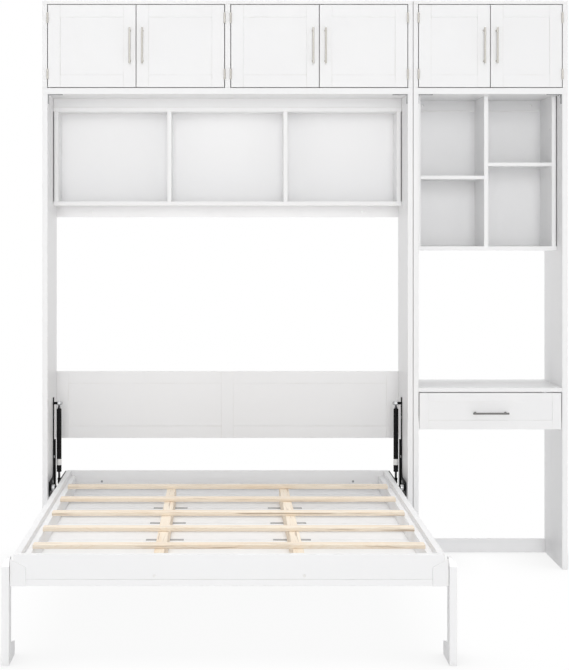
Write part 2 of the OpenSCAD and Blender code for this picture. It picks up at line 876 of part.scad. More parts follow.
// A leg: an upright with a toe towards the head, turning on its hinge bolt
module leg(right) {
    x = [bay_gap - leg_play - leg_t, bay_gap - leg_play];
    color(white)
        at_bay_side(right)
            difference() {
                side_plate(x, [
                    [foot_y, 0], [foot_y + toe_l, 0], [foot_y + toe_l, toe_end_h],
                    [foot_y + leg_d, toe_h], [foot_y + leg_d, leg_top],
                    [foot_y + leg_chamfer, leg_top], [foot_y, leg_top - leg_chamfer]
                ]);
                x_bar([x[0] - 1, x[1] + 1], [leg_hinge_y, leg_hinge_z], leg_bolt_r + pivot_play);
                translate([x[0], foot_y + leg_d + 1, leg_top])
                    rotate([90, 0, 0]) linear_extrude(leg_d + 2)
                        polygon([[-1, -leg_corner - 1], [-1, 1], [leg_corner + 1, 1]]);
            }
}

module leg_left() leg(false);
module leg_right() leg(true);

// Draws a strut part that hangs down from the top pin, along its axis
module along_strut(right) {
    at_bay_side(right)
        translate([strut_x, strut_pin[0], strut_pin[1]]) rotate([strut_lean, 0, 0]) children();
}

// An eye round an axis along X
module strut_eye(bore_r) {
    rotate([0, 90, 0]) difference() {
        translate([0, 0, -eye_t / 2]) cylinder(h = eye_t, r = eye_r);
        translate([0, 0, -eye_t / 2 - 1]) cylinder(h = eye_t + 2, r = bore_r);
    }
}

module strut_cylinder(right) {
    color(black_steel)
        along_strut(right) {
            strut_eye(strut_pin_r + pivot_play);
            translate([0, 0, -strut_neck]) cylinder(h = strut_neck - eye_r + 2, r = rod_r);
            difference() {
                translate([0, 0, -strut_neck - strut_l]) cylinder(h = strut_l, r = strut_r);
                translate([0, 0, -strut_neck - strut_l - 1])
                    cylinder(h = rod_l + 3, r = rod_r + pivot_play);
            }
        }
}

module strut_rod(right) {
    color(black_steel)
        along_strut(right) translate([0, 0, -strut_closed]) {
            strut_eye(stud_r + pivot_play);
            translate([0, 0, eye_r - 2]) cylinder(h = rod_end + 2, r = rod_r + 2);
            translate([0, 0, eye_r - 2]) cylinder(h = rod_out + rod_l - eye_r + 2, r = rod_r);
        }
}

module strut_cylinder_left() strut_cylinder(false);
module strut_cylinder_right() strut_cylinder(true);
module strut_rod_left() strut_rod(false);
module strut_rod_right() strut_rod(true);

module door_1() door(0);
module door_2() door(1);
module door_3() door(2);
module door_4() door(3);
module door_5() door(4);
module door_6() door(5);
module door_fittings_1() door_fittings(0);
module door_fittings_2() door_fittings(1);
module door_fittings_3() door_fittings(2);
module door_fittings_4() door_fittings(3);
module door_fittings_5() door_fittings(4);
module door_fittings_6() door_fittings(5);

bed_side_left();
bed_side_right();
desk_side_left();
desk_side_right();
base_rails();
head_panel();
apron_rail();
header_rail();
cubby_top();
cubby_bottom();
cubby_uprights();
cubby_back();
wide_cabinet_boards();
wide_cabinet_uprights();
wide_cabinet_back();
narrow_cabinet_boards();
narrow_cabinet_sides();
narrow_cabinet_back();
hutch_bottom();
hutch_uprights();
hutch_shelves();
hutch_back();
desk_top();
drawer_runners();
lift_plates();
strut_nuts();
hinge_leaves();
corner_brackets();
screws();
bed_side_rails();
bed_head_rail();
bed_foot_rail();
bed_face_boards();
slats();
slat_bearers();
slat_cleats();
corner_blocks();
lift_arms();
bed_bolts();
leg_left();
leg_right();
strut_cylinder_left();
strut_cylinder_right();
strut_rod_left();
strut_rod_right();
door_1();
door_2();
door_3();
door_4();
door_5();
door_6();
door_fittings_1();
door_fittings_2();
door_fittings_3();
door_fittings_4();
door_fittings_5();
door_fittings_6();
drawer_front();
drawer_box();
drawer_handle();
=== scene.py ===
"""The wall bed with its desk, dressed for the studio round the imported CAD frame.

Metres, in the frame's own axes: X to the right, Y towards the wall, Z up.
"""

import json
import logging
import math
from collections.abc import Callable, Sequence
from dataclasses import dataclass, field
from enum import Enum
from functools import cache

import bmesh
import bpy
from mathutils import Matrix, Vector

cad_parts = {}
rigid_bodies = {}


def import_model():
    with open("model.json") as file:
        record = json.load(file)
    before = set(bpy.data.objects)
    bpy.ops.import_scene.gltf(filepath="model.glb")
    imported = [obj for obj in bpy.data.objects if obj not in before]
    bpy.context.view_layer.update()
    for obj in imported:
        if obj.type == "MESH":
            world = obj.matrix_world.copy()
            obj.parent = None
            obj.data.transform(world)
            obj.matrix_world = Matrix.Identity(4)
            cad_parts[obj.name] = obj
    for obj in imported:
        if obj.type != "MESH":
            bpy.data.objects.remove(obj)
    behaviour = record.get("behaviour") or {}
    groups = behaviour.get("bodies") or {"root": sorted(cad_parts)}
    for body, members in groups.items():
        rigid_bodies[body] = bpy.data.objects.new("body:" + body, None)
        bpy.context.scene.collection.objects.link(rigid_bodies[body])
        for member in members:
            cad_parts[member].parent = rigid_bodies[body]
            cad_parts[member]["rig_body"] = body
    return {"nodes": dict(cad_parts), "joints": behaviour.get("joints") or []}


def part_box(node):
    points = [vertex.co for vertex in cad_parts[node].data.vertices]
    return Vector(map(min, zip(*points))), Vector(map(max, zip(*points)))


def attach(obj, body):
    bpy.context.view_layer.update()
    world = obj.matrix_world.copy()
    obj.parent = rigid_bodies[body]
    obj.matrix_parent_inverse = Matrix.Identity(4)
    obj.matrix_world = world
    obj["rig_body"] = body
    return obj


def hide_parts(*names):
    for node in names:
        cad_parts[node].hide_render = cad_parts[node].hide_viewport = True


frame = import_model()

log = logging.getLogger("wall_bed")

MM = 0.001
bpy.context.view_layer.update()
PLANK = "plank"

Point = tuple[float, float, float]
Range = tuple[float, float]
Colour = tuple[float, float, float]
Shape = bmesh.types.BMesh
Socket = bpy.types.NodeSocket
Tree = bpy.types.NodeTree


class Grain(Enum):
    """How far the wood's grain is turned from X, about Z."""

    ACROSS = 0.0
    ALONG = math.pi / 2


class Slot(Enum):
    """The record's material slots."""

    PAINT = "white_paint"
    LAMINATE = "white_laminate"
    PINE = "pine"
    BLACK = "black_steel"
    NICKEL = "brushed_nickel"
    ZINC = "zinc"


# ---------------------------------------------------------------- shader wiring


class Wiring:
    """Adds shader nodes to a tree and joins their sockets."""

    def __init__(self, tree: Tree) -> None:
        """Keeps the tree that the nodes go into."""
        self.tree = tree

    def feed(self, socket: Socket, value: object) -> None:
        """Links a socket to another one, or gives it a plain value.

        Args:
            socket: The input that is fed.
            value: An output socket, a number, a vector or a colour of three parts.
        """
        if isinstance(value, Socket):
            self.tree.links.new(value, socket)
        elif socket.type == "RGBA" and len(value) == 3:
            socket.default_value = (*value, 1.0)
        else:
            socket.default_value = value

    def node(
        self, kind: str, inputs: dict[str | int, object] | None = None, **settings: object
    ) -> bpy.types.Node:
        """Adds one node.

        Args:
            kind: The node's type name.
            inputs: For each input, a value or the output socket that feeds it.
            settings: The node's own properties.

        Returns:
            The new node.
        """
        made = self.tree.nodes.new(kind)
        for name, value in settings.items():
            setattr(made, name, value)
        for name, value in (inputs or {}).items():
            self.feed(made.inputs[name], value)
        return made

    def effect(
        self, maker: Callable[[], Tree], inputs: dict[str, object]
    ) -> dict[str, Socket]:
        """Places a shared effect group, with its own values, and gives its outputs."""
        return self.node("ShaderNodeGroup", inputs, node_tree=maker()).outputs

    def math(self, operation: str, *values: object) -> Socket:
        """The result of a Math node on up to three values or sockets."""
        return self.node("ShaderNodeMath", dict(enumerate(values)), operation=operation).outputs[0]

    def vector(self, operation: str, inputs: dict[int, object]) -> bpy.types.Node:
        """A Vector Math node on the given inputs."""
        return self.node("ShaderNodeVectorMath", inputs, operation=operation)

    def mix(self, factor: object, a: object, b: object) -> Socket:
        """The colour between a and b at a factor."""
        return self.node("ShaderNodeMix", {0: factor, 6: a, 7: b}, data_type="RGBA").outputs[2]

    def spread(self, value: object, low: Range, high: Range) -> Socket:
        """Maps a value from the range low to the range high, held at its ends."""
        return self.node(
            "ShaderNodeMapRange", {0: value, 1: low[0], 2: low[1], 3: high[0], 4: high[1]}
        ).outputs[0]

    def noise(self, vector: object, scale: object, detail: float, rough: float) -> Socket:
        """A noise value from 0 to 1 at the given vector."""
        return self.node(
            "ShaderNodeTexNoise",
            {"Vector": vector, "Scale": scale, "Detail": detail, "Roughness": rough},
        ).outputs[0]

    def stretched(self, vector: object, scale: Point) -> Socket:
        """The vector with each axis scaled by its own amount."""
        return self.node("ShaderNodeMapping", {"Vector": vector, "Scale": scale}).outputs[0]


class EffectGroup:
    """A shader node group with named inputs and outputs, which several finishes use."""

    sockets = {float: "NodeSocketFloat", tuple: "NodeSocketColor", Vector: "NodeSocketVector"}

    def __init__(self, name: str, inputs: dict[str, object], outputs: dict[str, type]) -> None:
        """Makes the empty group.

        Args:
            name: The group's name.
            inputs: For each input its default, whose type gives the socket's.
            outputs: For each output its type.
        """
        self.tree = bpy.data.node_groups.new(name, "ShaderNodeTree")
        face = self.tree.interface
        for title, default in inputs.items():
            kind = self.sockets[type(default)]
            socket = face.new_socket(name=title, in_out="INPUT", socket_type=kind)
            if isinstance(default, tuple):
                socket.default_value = (*default, 1.0)
            elif isinstance(default, float):
                socket.default_value = default
        for title, kind in outputs.items():
            face.new_socket(name=title, in_out="OUTPUT", socket_type=self.sockets[kind])
        self.wiring = Wiring(self.tree)
        self.value = self.tree.nodes.new("NodeGroupInput").outputs
        self.end = self.tree.nodes.new("NodeGroupOutput")

    def give(self, **results: Socket) -> Tree:
        """Feeds the group's outputs and gives the finished tree."""
        for title, socket in results.items():
            self.wiring.feed(self.end.inputs[title], socket)
        return self.tree


@cache
def soft_film_group() -> Tree:
    """Sprayed or laminated white: a faint unevenness, handling marks and a fine skin.

    Returns:
        A group that puts out a colour, a roughness and a height.
    """
    white, grey = (0.8, 0.8, 0.8), (0.7, 0.7, 0.7)
    group = EffectGroup(
        "soft_film",
        {"Vector": Vector(), "Film": white, "Shade": grey, "Gloss": 0.4, "Skin Scale": 500.0},
        {"Color": tuple, "Roughness": float, "Height": float},
    )
    w, value = group.wiring, group.value
    place = value["Vector"]
    faint = w.spread(w.noise(place, 1.7, 3.0, 0.55), (0.3, 0.75), (0.0, 1.0))
    marks = w.noise(w.stretched(place, (1.0, 1.0, 2.6)), 14.0, 5.0, 0.62)
    rubbed = w.spread(marks, (0.56, 0.78), (0.0, 1.0))
    gloss = w.math("MULTIPLY_ADD", rubbed, 0.1, value["Gloss"])
    return group.give(
        Color=w.mix(faint, value["Film"], value["Shade"]),
        Roughness=w.math("MULTIPLY_ADD", faint, 0.03, gloss),
        Height=w.noise(place, value["Skin Scale"], 2.0, 0.6),
    )


@cache
def edge_rub_group() -> Tree:
    """Where handling has rubbed the edges of a board.

    Returns:
        A group that puts out a mask, 1 on the edges that are rubbed through.
    """
    group = EffectGroup(
        "edge_rub",
        {"Vector": Vector(), "Width": 0.003, "Patches": 9.0, "Amount": 0.5},
        {"Mask": float},
    )
    w, value = group.wiring, group.value
    inside = w.node(
        "ShaderNodeAmbientOcclusion", {"Distance": value["Width"]},
        samples=6, inside=True, only_local=True,
    )
    edge = w.spread(inside.outputs["AO"], (0.45, 0.95), (1.0, 0.0))
    patches = w.noise(value["Vector"], value["Patches"], 4.0, 0.6)
    worn = w.math("MULTIPLY", edge, w.spread(patches, (0.42, 0.68), (0.0, 1.0)))
    return group.give(Mask=w.math("MULTIPLY", worn, value["Amount"]))


@cache
def dust_group() -> Tree:
    """Fine dust that lies on faces that look up.

    Returns:
        A group that puts out a mask, 1 where dust covers the surface.
    """
    group = EffectGroup("dust", {"Vector": Vector(), "Amount": 0.3}, {"Mask": float})
    w, value = group.wiring, group.value
    normal = w.node("ShaderNodeNewGeometry").outputs["Normal"]
    up = w.node("ShaderNodeSeparateXYZ", {0: normal}).outputs["Z"]
    level = w.spread(up, (0.85, 1.0), (0.0, 1.0))
    film = w.spread(w.noise(value["Vector"], 5.0, 6.0, 0.65), (0.35, 0.7), (0.0, 0.7))
    specks = w.spread(w.noise(value["Vector"], 420.0, 1.0, 0.5), (0.6, 0.72), (0.0, 0.5))
    lies = w.math("MULTIPLY", level, w.math("ADD", film, specks))
    return group.give(Mask=w.math("MULTIPLY", lies, value["Amount"]))


@cache
def pine_grain_group() -> Tree:
    """Planed pine with growth lines, streaks and small knots, its grain along X.

    Returns:
        A group that puts out a colour, a roughness and a height.
    """
    group = EffectGroup(
        "pine_grain",
        {
            "Vector": Vector(), "Plank": 0.0, "Early Wood": (0.8, 0.6, 0.4),
            "Late Wood": (0.6, 0.4, 0.2), "Knot": (0.2, 0.1, 0.05), "Ring": 0.004,
        },
        {"Color": tuple, "Roughness": float, "Height": float},
    )
    w, value = group.wiring, group.value
    plank = value["Plank"]
    steps = {i: w.math("MULTIPLY", plank, step) for i, step in enumerate((7.31, 3.7, 1.9))}
    apart = w.node("ShaderNodeCombineXYZ", steps).outputs[0]
    place = w.vector("ADD", {0: value["Vector"], 1: apart}).outputs[0]

    def grain(along: float, across: float, detail: float, rough: float) -> Socket:
        """Noise that is stretched along the plank."""
        return w.noise(w.stretched(place, (along, across, across)), 1.0, detail, rough)

    # A few knots for each plank, and how near the surface is to one
    cells = w.node(
        "ShaderNodeTexVoronoi",
        {"Vector": w.stretched(place, (1.0, 3.1, 3.1)), "Scale": 5.2, "Randomness": 1.0},
        feature="F1",
    ).outputs
    pick = w.node("ShaderNodeSeparateColor", {0: cells["Color"]}).outputs[0]
    shown = w.math("GREATER_THAN", pick, 0.52)
    near, knot, halo = (
        w.math("MULTIPLY", w.spread(cells["Distance"], reach, (1.0, 0.0)), shown)
        for reach in ((0.03, 0.3), (0.025, 0.05), (0.05, 0.09))
    )
    # Growth lines: rings round a heart that wanders along the plank, pushed aside by the knots
    wander = w.noise(w.stretched(place, (0.9, 0.25, 0.25)), 1.6, 2.0, 0.5)
    parts = w.node("ShaderNodeSeparateXYZ", {0: value["Vector"]}).outputs
    across = w.node("ShaderNodeCombineXYZ", {0: 0.0, 1: parts[1], 2: parts[2]}).outputs[0]
    aside = w.math("MULTIPLY_ADD", wander, 0.16, w.math("MULTIPLY", plank, 0.05))
    heart = w.node("ShaderNodeCombineXYZ", {0: 0.0, 1: aside, 2: 0.05}).outputs[0]
    spoke = w.vector("SUBTRACT", {0: across, 1: heart}).outputs[0]
    radius = w.vector("LENGTH", {0: spoke}).outputs["Value"]
    rings = w.math("DIVIDE", w.math("MULTIPLY_ADD", near, 0.009, radius), value["Ring"])
    ripple = w.math("MULTIPLY", grain(3.0, 40.0, 3.0, 0.6), 1.4)
    late = w.math("POWER", w.math("FRACT", w.math("ADD", rings, ripple)), 3.0)
    # Streaks, broad bands and pores along the grain
    streaks = w.spread(grain(2.2, 70.0, 4.0, 0.65), (0.35, 0.8), (0.0, 0.55))
    bands = w.spread(grain(2.1, 14.0, 4.0, 0.6), (0.48, 0.72), (0.0, 0.6))
    pores = grain(28.0, 900.0, 2.0, 0.7)
    tone = w.math("MULTIPLY_ADD", late, 0.42, w.math("ADD", bands, streaks))
    wood = w.mix(tone, value["Early Wood"], value["Late Wood"])
    haloed = w.mix(w.math("MULTIPLY", halo, 0.5), wood, value["Late Wood"])
    # A few brown resin streaks, a hand long and as thin as a pencil line
    resin = w.spread(grain(4.0, 150.0, 2.0, 0.5), (0.61, 0.69), (0.0, 0.6))
    streaked = w.mix(resin, haloed, value["Knot"])
    lines = w.math("MULTIPLY_ADD", late, 0.35, w.math("MULTIPLY", pores, 0.5))
    dull = w.spread(pores, (0.3, 0.7), (0.5, 0.64))
    return group.give(
        Color=w.mix(w.math("MULTIPLY", knot, 0.9), streaked, value["Knot"]),
        Roughness=w.math("MULTIPLY_ADD", late, -0.08, dull),
        Height=w.math("SUBTRACT", lines, w.math("MULTIPLY", knot, 0.4)),
    )


@cache
def brushed_group() -> Tree:
    """Metal brushed along Z, with smudges from handling.

    Returns:
        A group that puts out a tone from 0 to 1, a roughness and a height.
    """
    group = EffectGroup(
        "brushed",
        {"Vector": Vector(), "Gloss": 0.3, "Line Scale": 1.0},
        {"Tone": float, "Roughness": float, "Height": float},
    )
    w, value = group.wiring, group.value
    place = w.vector("SCALE", {0: value["Vector"], 3: value["Line Scale"]}).outputs[0]
    lines = w.noise(w.stretched(place, (1500.0, 1500.0, 26.0)), 1.0, 3.0, 0.7)
    smudge = w.spread(w.noise(value["Vector"], 45.0, 4.0, 0.6), (0.5, 0.75), (0.0, 1.0))
    rough = w.math("MULTIPLY_ADD", lines, 0.16, value["Gloss"])
    return group.give(
        Tone=w.spread(lines, (0.25, 0.75), (0.0, 1.0)),
        Roughness=w.math("MULTIPLY_ADD", smudge, 0.12, rough),
        Height=lines,
    )


@cache
def coated_group() -> Tree:
    """Painted or powder-coated metal: a pebbled skin and scuffs.

    Returns:
        A group that puts out a scuff mask, a roughness and a height.
    """
    group = EffectGroup(
        "coated",
        {"Vector": Vector(), "Gloss": 0.35, "Pebble Scale": 900.0},
        {"Scuff": float, "Roughness": float, "Height": float},
    )
    w, value = group.wiring, group.value
    place = value["Vector"]
    scratches = w.noise(w.stretched(place, (90.0, 30.0, 30.0)), 1.0, 6.0, 0.72)
    scuff = w.spread(scratches, (0.6, 0.74), (0.0, 1.0))
    return group.give(
        Scuff=scuff,
        Roughness=w.math("MULTIPLY_ADD", scuff, 0.18, value["Gloss"]),
        Height=w.noise(place, value["Pebble Scale"], 2.0, 0.55),
    )


# -------------------------------------------------------------------- finishes


@dataclass(frozen=True)
class Finish:
    """A procedural finish: what every kind of finish has in common."""

    name: str
    slot: Slot

    def build(self) -> bpy.types.Material:
        """The Blender material of this finish, made once.

        Returns:
            The material, with its nodes wired.
        """
        made = bpy.data.materials.get(self.name)
        if made is None:
            made = bpy.data.materials.new(self.name)
            made.use_nodes = True
            w = Wiring(made.node_tree)
            self.wire(w, made.node_tree.nodes["Principled BSDF"].inputs, self.place(w))
        return made

    def place(self, w: Wiring) -> Socket:
        """Where the surface is, in the piece's own coordinates."""
        return w.node("ShaderNodeTexCoord").outputs["Object"]

    def wire(self, w: Wiring, surface: dict[str, Socket], place: Socket) -> None:
        """Feeds the shader; each kind of finish does it in its own way.

        Args:
            w: The material's wiring.
            surface: The shader's inputs.
            place: Where the surface is.
        """
        raise NotImplementedError

    @staticmethod
    def skin(
        w: Wiring, surface: dict[str, Socket], colour: Socket, rough: Socket,
        height: Socket, depth: float,
    ) -> None:
        """Feeds colour, roughness and a bump.

        Args:
            w: The material's wiring.
            surface: The shader's inputs.
            colour: The base colour.
            rough: The roughness.
            height: The bump's height, from 0 to 1.
            depth: The bump's depth in metres.
        """
        bump = w.node("ShaderNodeBump", {"Strength": 1.0, "Distance": depth, "Height": height})
        w.feed(surface["Base Color"], colour)
        w.feed(surface["Roughness"], rough)
        w.feed(surface["Normal"], bump.outputs[0])


@dataclass(frozen=True)
class WhiteFilm(Finish):
    """White satin paint or laminate on board."""

    film: Colour
    shade: Colour
    gloss: float
    skin_scale: float = 500.0
    skin_depth: float = 0.00002
    rub: float = 0.35
    dust: float = 0.25
    core: Colour = (0.6, 0.55, 0.47)
    dust_colour: Colour = (0.62, 0.61, 0.59)
    dust_dulls: float = 0.4

    def wire(self, w: Wiring, surface: dict[str, Socket], place: Socket) -> None:
        """Film, then rubbed edges, then dust."""
        film = w.effect(
            soft_film_group,
            {
                "Vector": place, "Film": self.film, "Shade": self.shade,
                "Gloss": self.gloss, "Skin Scale": self.skin_scale,
            },
        )
        rub = w.effect(edge_rub_group, {"Vector": place, "Amount": self.rub})["Mask"]
        dust = w.effect(dust_group, {"Vector": place, "Amount": self.dust})["Mask"]
        dusty = w.mix(dust, w.mix(rub, film["Color"], self.core), self.dust_colour)
        rough = w.math("MULTIPLY_ADD", dust, self.dust_dulls, film["Roughness"])
        self.skin(w, surface, dusty, rough, film["Height"], self.skin_depth)


@dataclass(frozen=True)
class Pine(Finish):
    """Planed softwood; the grain follows the longest side of the planks."""

    grain: Grain
    early: Colour = (0.97, 0.88, 0.75)
    late: Colour = (0.87, 0.70, 0.52)
    knot: Colour = (0.26, 0.15, 0.08)
    ring: float = 0.0042
    dust: float = 0.12
    dust_colour: Colour = (0.72, 0.69, 0.64)
    grain_depth: float = 0.00012

    def place(self, w: Wiring) -> Socket:
        """The piece's own coordinates, turned along the grain."""
        return w.node(
            "ShaderNodeMapping", {"Vector": super().place(w), "Rotation": (0, 0, self.grain.value)}
        ).outputs[0]

    def wire(self, w: Wiring, surface: dict[str, Socket], place: Socket) -> None:
        """Grain that each plank has to itself, under a little dust."""
        plank = w.node("ShaderNodeAttribute", attribute_name=PLANK).outputs["Fac"]
        wood = w.effect(
            pine_grain_group,
            {
                "Vector": place, "Plank": plank, "Early Wood": self.early,
                "Late Wood": self.late, "Knot": self.knot, "Ring": self.ring,
            },
        )
        dust = w.effect(dust_group, {"Vector": place, "Amount": self.dust})["Mask"]
        dusty = w.mix(dust, wood["Color"], self.dust_colour)
        self.skin(w, surface, dusty, wood["Roughness"], wood["Height"], self.grain_depth)


@dataclass(frozen=True)
class BareMetal(Finish):
    """Brushed or plated metal without paint."""

    light: Colour
    dark: Colour
    gloss: float
    line_scale: float = 1.0
    line_depth: float = 0.000008
    bare: float = 1.0

    def wire(self, w: Wiring, surface: dict[str, Socket], place: Socket) -> None:
        """Tone, roughness and brush lines from the shared group."""
        metal = w.effect(
            brushed_group, {"Vector": place, "Gloss": self.gloss, "Line Scale": self.line_scale}
        )
        w.feed(surface["Metallic"], self.bare)
        tone = w.mix(metal["Tone"], self.dark, self.light)
        self.skin(w, surface, tone, metal["Roughness"], metal["Height"], self.line_depth)


@dataclass(frozen=True)
class CoatedMetal(Finish):
    """Painted, powder-coated or blackened metal."""

    paint: Colour
    scuffed: Colour
    gloss: float
    pebble_scale: float = 900.0
    pebble_depth: float = 0.00003
    shine: float = 0.1

    def wire(self, w: Wiring, surface: dict[str, Socket], place: Socket) -> None:
        """Paint with scuffs and a pebbled skin from the shared group."""
        coat = w.effect(
            coated_group, {"Vector": place, "Gloss": self.gloss, "Pebble Scale": self.pebble_scale}
        )
        w.feed(surface["Specular IOR Level"], self.shine)
        colour = w.mix(coat["Scuff"], self.paint, self.scuffed)
        self.skin(w, surface, colour, coat["Roughness"], coat["Height"], self.pebble_depth)


PAINT = WhiteFilm(
    "white_satin_paint", Slot.PAINT, (0.925, 0.925, 0.930), (0.912, 0.912, 0.918), 0.36
)
# White laminate for the boards inside the cabinets and open units. It is made lighter than the
# paint, and that extra lightness is painted light that brightens the recesses the lamps reach
# less.
LAMINATE_WITH_PAINTED_LIGHT = WhiteFilm(
    "white_laminate_with_painted_light", Slot.LAMINATE, (0.960, 0.960, 0.965), (0.950, 0.950, 0.955), 0.42,
    skin_scale=320.0,
)
LABEL = WhiteFilm(
    "blank_label", Slot.PAINT, (0.94, 0.94, 0.94), (0.92, 0.92, 0.91), 0.45, rub=0.2, dust=0.0
)
PINE_ACROSS = Pine("planed_pine_slats", Slot.PINE, Grain.ACROSS)
PINE_ALONG = Pine("planed_pine_bearers", Slot.PINE, Grain.ALONG)
NICKEL = BareMetal(
    "brushed_nickel", Slot.NICKEL, (0.385, 0.385, 0.38), (0.28, 0.28, 0.277), 0.30
)
# A darker copy of the brushed nickel for the drawer handle: painted shade that stands for the dark
# reflection along the underside of the bar.
NICKEL_WITH_PAINTED_SHADE = BareMetal(
    "brushed_nickel_drawer_painted_shade", Slot.NICKEL, (0.20, 0.197, 0.194), (0.13, 0.128, 0.126), 0.34,
    bare=0.45,
)
ZINC = BareMetal(
    "bright_zinc", Slot.ZINC, (0.74, 0.75, 0.76), (0.56, 0.57, 0.58), 0.30, line_scale=0.2
)
DULL_ZINC = BareMetal(
    "dull_zinc", Slot.ZINC, (0.46, 0.47, 0.48), (0.34, 0.345, 0.35), 0.50, line_scale=0.2
)
SHAFT_STEEL = BareMetal(
    "ground_steel", Slot.ZINC, (0.16, 0.16, 0.17), (0.10, 0.10, 0.11), 0.24, line_scale=0.4
)
BLACK_STEEL = CoatedMetal(
    "black_powder_coat", Slot.BLACK, (0.008, 0.008, 0.009), (0.025, 0.025, 0.027), 0.42
)
GLOSS_BLACK = CoatedMetal(
    "gloss_black_tube", Slot.BLACK, (0.006, 0.006, 0.007), (0.02, 0.02, 0.022), 0.24,
    pebble_scale=300.0, pebble_depth=0.00001, shine=0.12,
)


# ------------------------------------------------------------------ mesh making

MERGE = 0.01 * MM
FLAT = math.radians(0.5)
EASED = math.radians(30)
SHARP = math.radians(50)
UPRIGHT = 0.99
HEX_FLATS = 0.87
NUT_SINK = 0.6 * MM
OUT_OF_FRONT = Matrix.Rotation(math.pi / 2, 4, "X")


def along_x(way: int) -> Matrix:
    """The turn that lays a piece made along Z along X, rightwards for 1, leftwards for -1."""
    return Matrix.Rotation(way * math.pi / 2, 4, "Y")


def mirrored(yes: bool) -> Matrix:
    """The mirror image from left to right, or no change."""
    return Matrix.Scale(-1 if yes else 1, 4, (1, 0, 0))


def in_mm(*profile: Range) -> list[Range]:
    """A profile that is written in millimetres, in metres."""
    return [(radius * MM, height * MM) for radius, height in profile]


def bends(edge: bmesh.types.BMEdge, angle: float) -> bool:
    """Whether the two faces at an edge meet at more than an angle."""
    return len(edge.link_faces) == 2 and edge.calc_face_angle(0.0) > angle


def merged_copy(node: str) -> Shape:
    """A copy of a CAD node's mesh, its triangles merged into flat faces.

    Args:
        node: The CAD node's name.

    Returns:
        The copy, as a new bmesh.
    """
    bm = bmesh.new()
    bm.from_mesh(frame["nodes"][node].data)
    bmesh.ops.remove_doubles(bm, verts=bm.verts, dist=MERGE)
    bmesh.ops.dissolve_limit(
        bm, angle_limit=FLAT, use_dissolve_boundaries=False,
        verts=bm.verts, edges=bm.edges, delimit=set(),
    )
    return bm


def ease(bm: Shape, width: float, segments: int = 2) -> Shape:
    """Rounds every sharp edge of a shape.

    Args:
        bm: The shape, which is changed.
        width: The rounding's width in metres.
        segments: The number of faces across it.

    Returns:
        The same shape.
    """
    bmesh.ops.bevel(
        bm, geom=[e for e in bm.edges if bends(e, EASED)], offset=width, offset_type="OFFSET",
        segments=segments, profile=0.5, affect="EDGES", clamp_overlap=True, material=-1,
    )
    return bm


def join(bm: Shape, part: Shape, place: Matrix | None = None) -> None:
    """Moves a part to its place and adds it to a shape.

    Args:
        bm: The shape, which grows.
        part: The part, which is used up.
        place: Where it goes; a mirror image has its faces turned outwards again.
    """
    if place is not None:
        part.transform(place)
        if place.determinant() < 0:
            bmesh.ops.reverse_faces(part, faces=part.faces)
    passed = bpy.data.meshes.new("part")
    part.to_mesh(passed)
    part.free()
    bm.from_mesh(passed)
    bpy.data.meshes.remove(passed)


def board(low: Sequence[float], high: Sequence[float], width: float) -> Shape:
    """A board between two corners, with its edges rounded.

    Args:
        low: The lowest corner.
        high: The highest corner.
        width: The rounding's width.

    Returns:
        The board, as a new bmesh.
    """
    bm = bmesh.new()
    size = [b - a for a, b in zip(low, high)]
    middle = [(a + b) / 2 for a, b in zip(low, high)]
    place = Matrix.Translation(middle) @ Matrix.Diagonal((*size, 1.0))
    bmesh.ops.create_cube(bm, size=1.0, matrix=place)
    return ease(bm, width)


def span_board(x: Range, y: Range, z: Range, width: float) -> Shape:
    """A board that fills a range along each axis, with its edges rounded by a width."""
    return board((x[0], y[0], z[0]), (x[1], y[1], z[1]), width)


def turned(profile: Sequence[Range], segments: int = 32) -> Shape:
    """A round piece turned about Z.

    Args:
        profile: Radius and height of each point, from the lower end to the upper one.
        segments: The number of faces round it.

    Returns:
        The closed shape, as a new bmesh.
    """
    bm = bmesh.new()
    rim = [bm.verts.new((radius, 0.0, height)) for radius, height in profile]
    edges = [bm.edges.new(pair) for pair in zip(rim, rim[1:])]
    bmesh.ops.spin(
        bm, geom=[*rim, *edges], cent=(0, 0, 0), axis=(0, 0, 1), angle=math.tau,
        steps=segments, use_merge=True,
    )
    bmesh.ops.remove_doubles(bm, verts=bm.verts, dist=0.1 * MERGE)
    bmesh.ops.recalc_face_normals(bm, faces=bm.faces)
    return bm


def rod(radius: float, length: float, end: float) -> Shape:
    """A bar along Z from the origin, with its two ends rounded.

    Args:
        radius: The bar's radius.
        length: Its length.
        end: The rounding's width.

    Returns:
        The bar, as a new bmesh.
    """
    near, slope = radius - end, radius - 0.3 * end
    return turned(
        [
            (0.0, 0.0), (near, 0.0), (slope, 0.3 * end), (radius, end),
            (radius, length - end), (slope, length - 0.3 * end), (near, length), (0.0, length),
        ]
    )


def hex_nut(radius: float, height: float, bore: float) -> Shape:
    """A hexagon nut along Z from the origin, with chamfered corners and a sunk bore.

    Args:
        radius: The radius over its corners.
        height: Its height.
        bore: The bore's radius.

    Returns:
        The nut, as a new bmesh.
    """
    bm = bmesh.new()
    bmesh.ops.create_cone(
        bm, cap_ends=True, segments=6, radius1=radius, radius2=radius, depth=height,
        matrix=Matrix.Translation((0, 0, height / 2)),
    )
    ease(bm, 0.08 * radius)
    caps = [f for f in bm.faces if abs(f.normal.z) > UPRIGHT and len(f.verts) >= 6]
    bmesh.ops.inset_individual(
        bm, faces=caps, thickness=radius * HEX_FLATS - bore, use_even_offset=True
    )
    for cap in caps:
        bmesh.ops.translate(bm, verts=list(cap.verts), vec=(0, 0, -NUT_SINK * cap.normal.z))
    return bm


def socket_screw(radius: float, height: float) -> Shape:
    """A low round screw head along Z from the origin, with a socket in its face.

    Args:
        radius: The head's radius.
        height: Its height.

    Returns:
        The head, as a new bmesh.
    """
    socket = 0.42 * radius
    return turned(
        [
            (0.0, 0.0), (radius, 0.0), (radius, 0.35 * height), (0.93 * radius, 0.7 * height),
            (0.72 * radius, height), (socket, height), (0.9 * socket, 0.25 * height),
            (0.0, 0.2 * height),
        ],
        segments=24,
    )


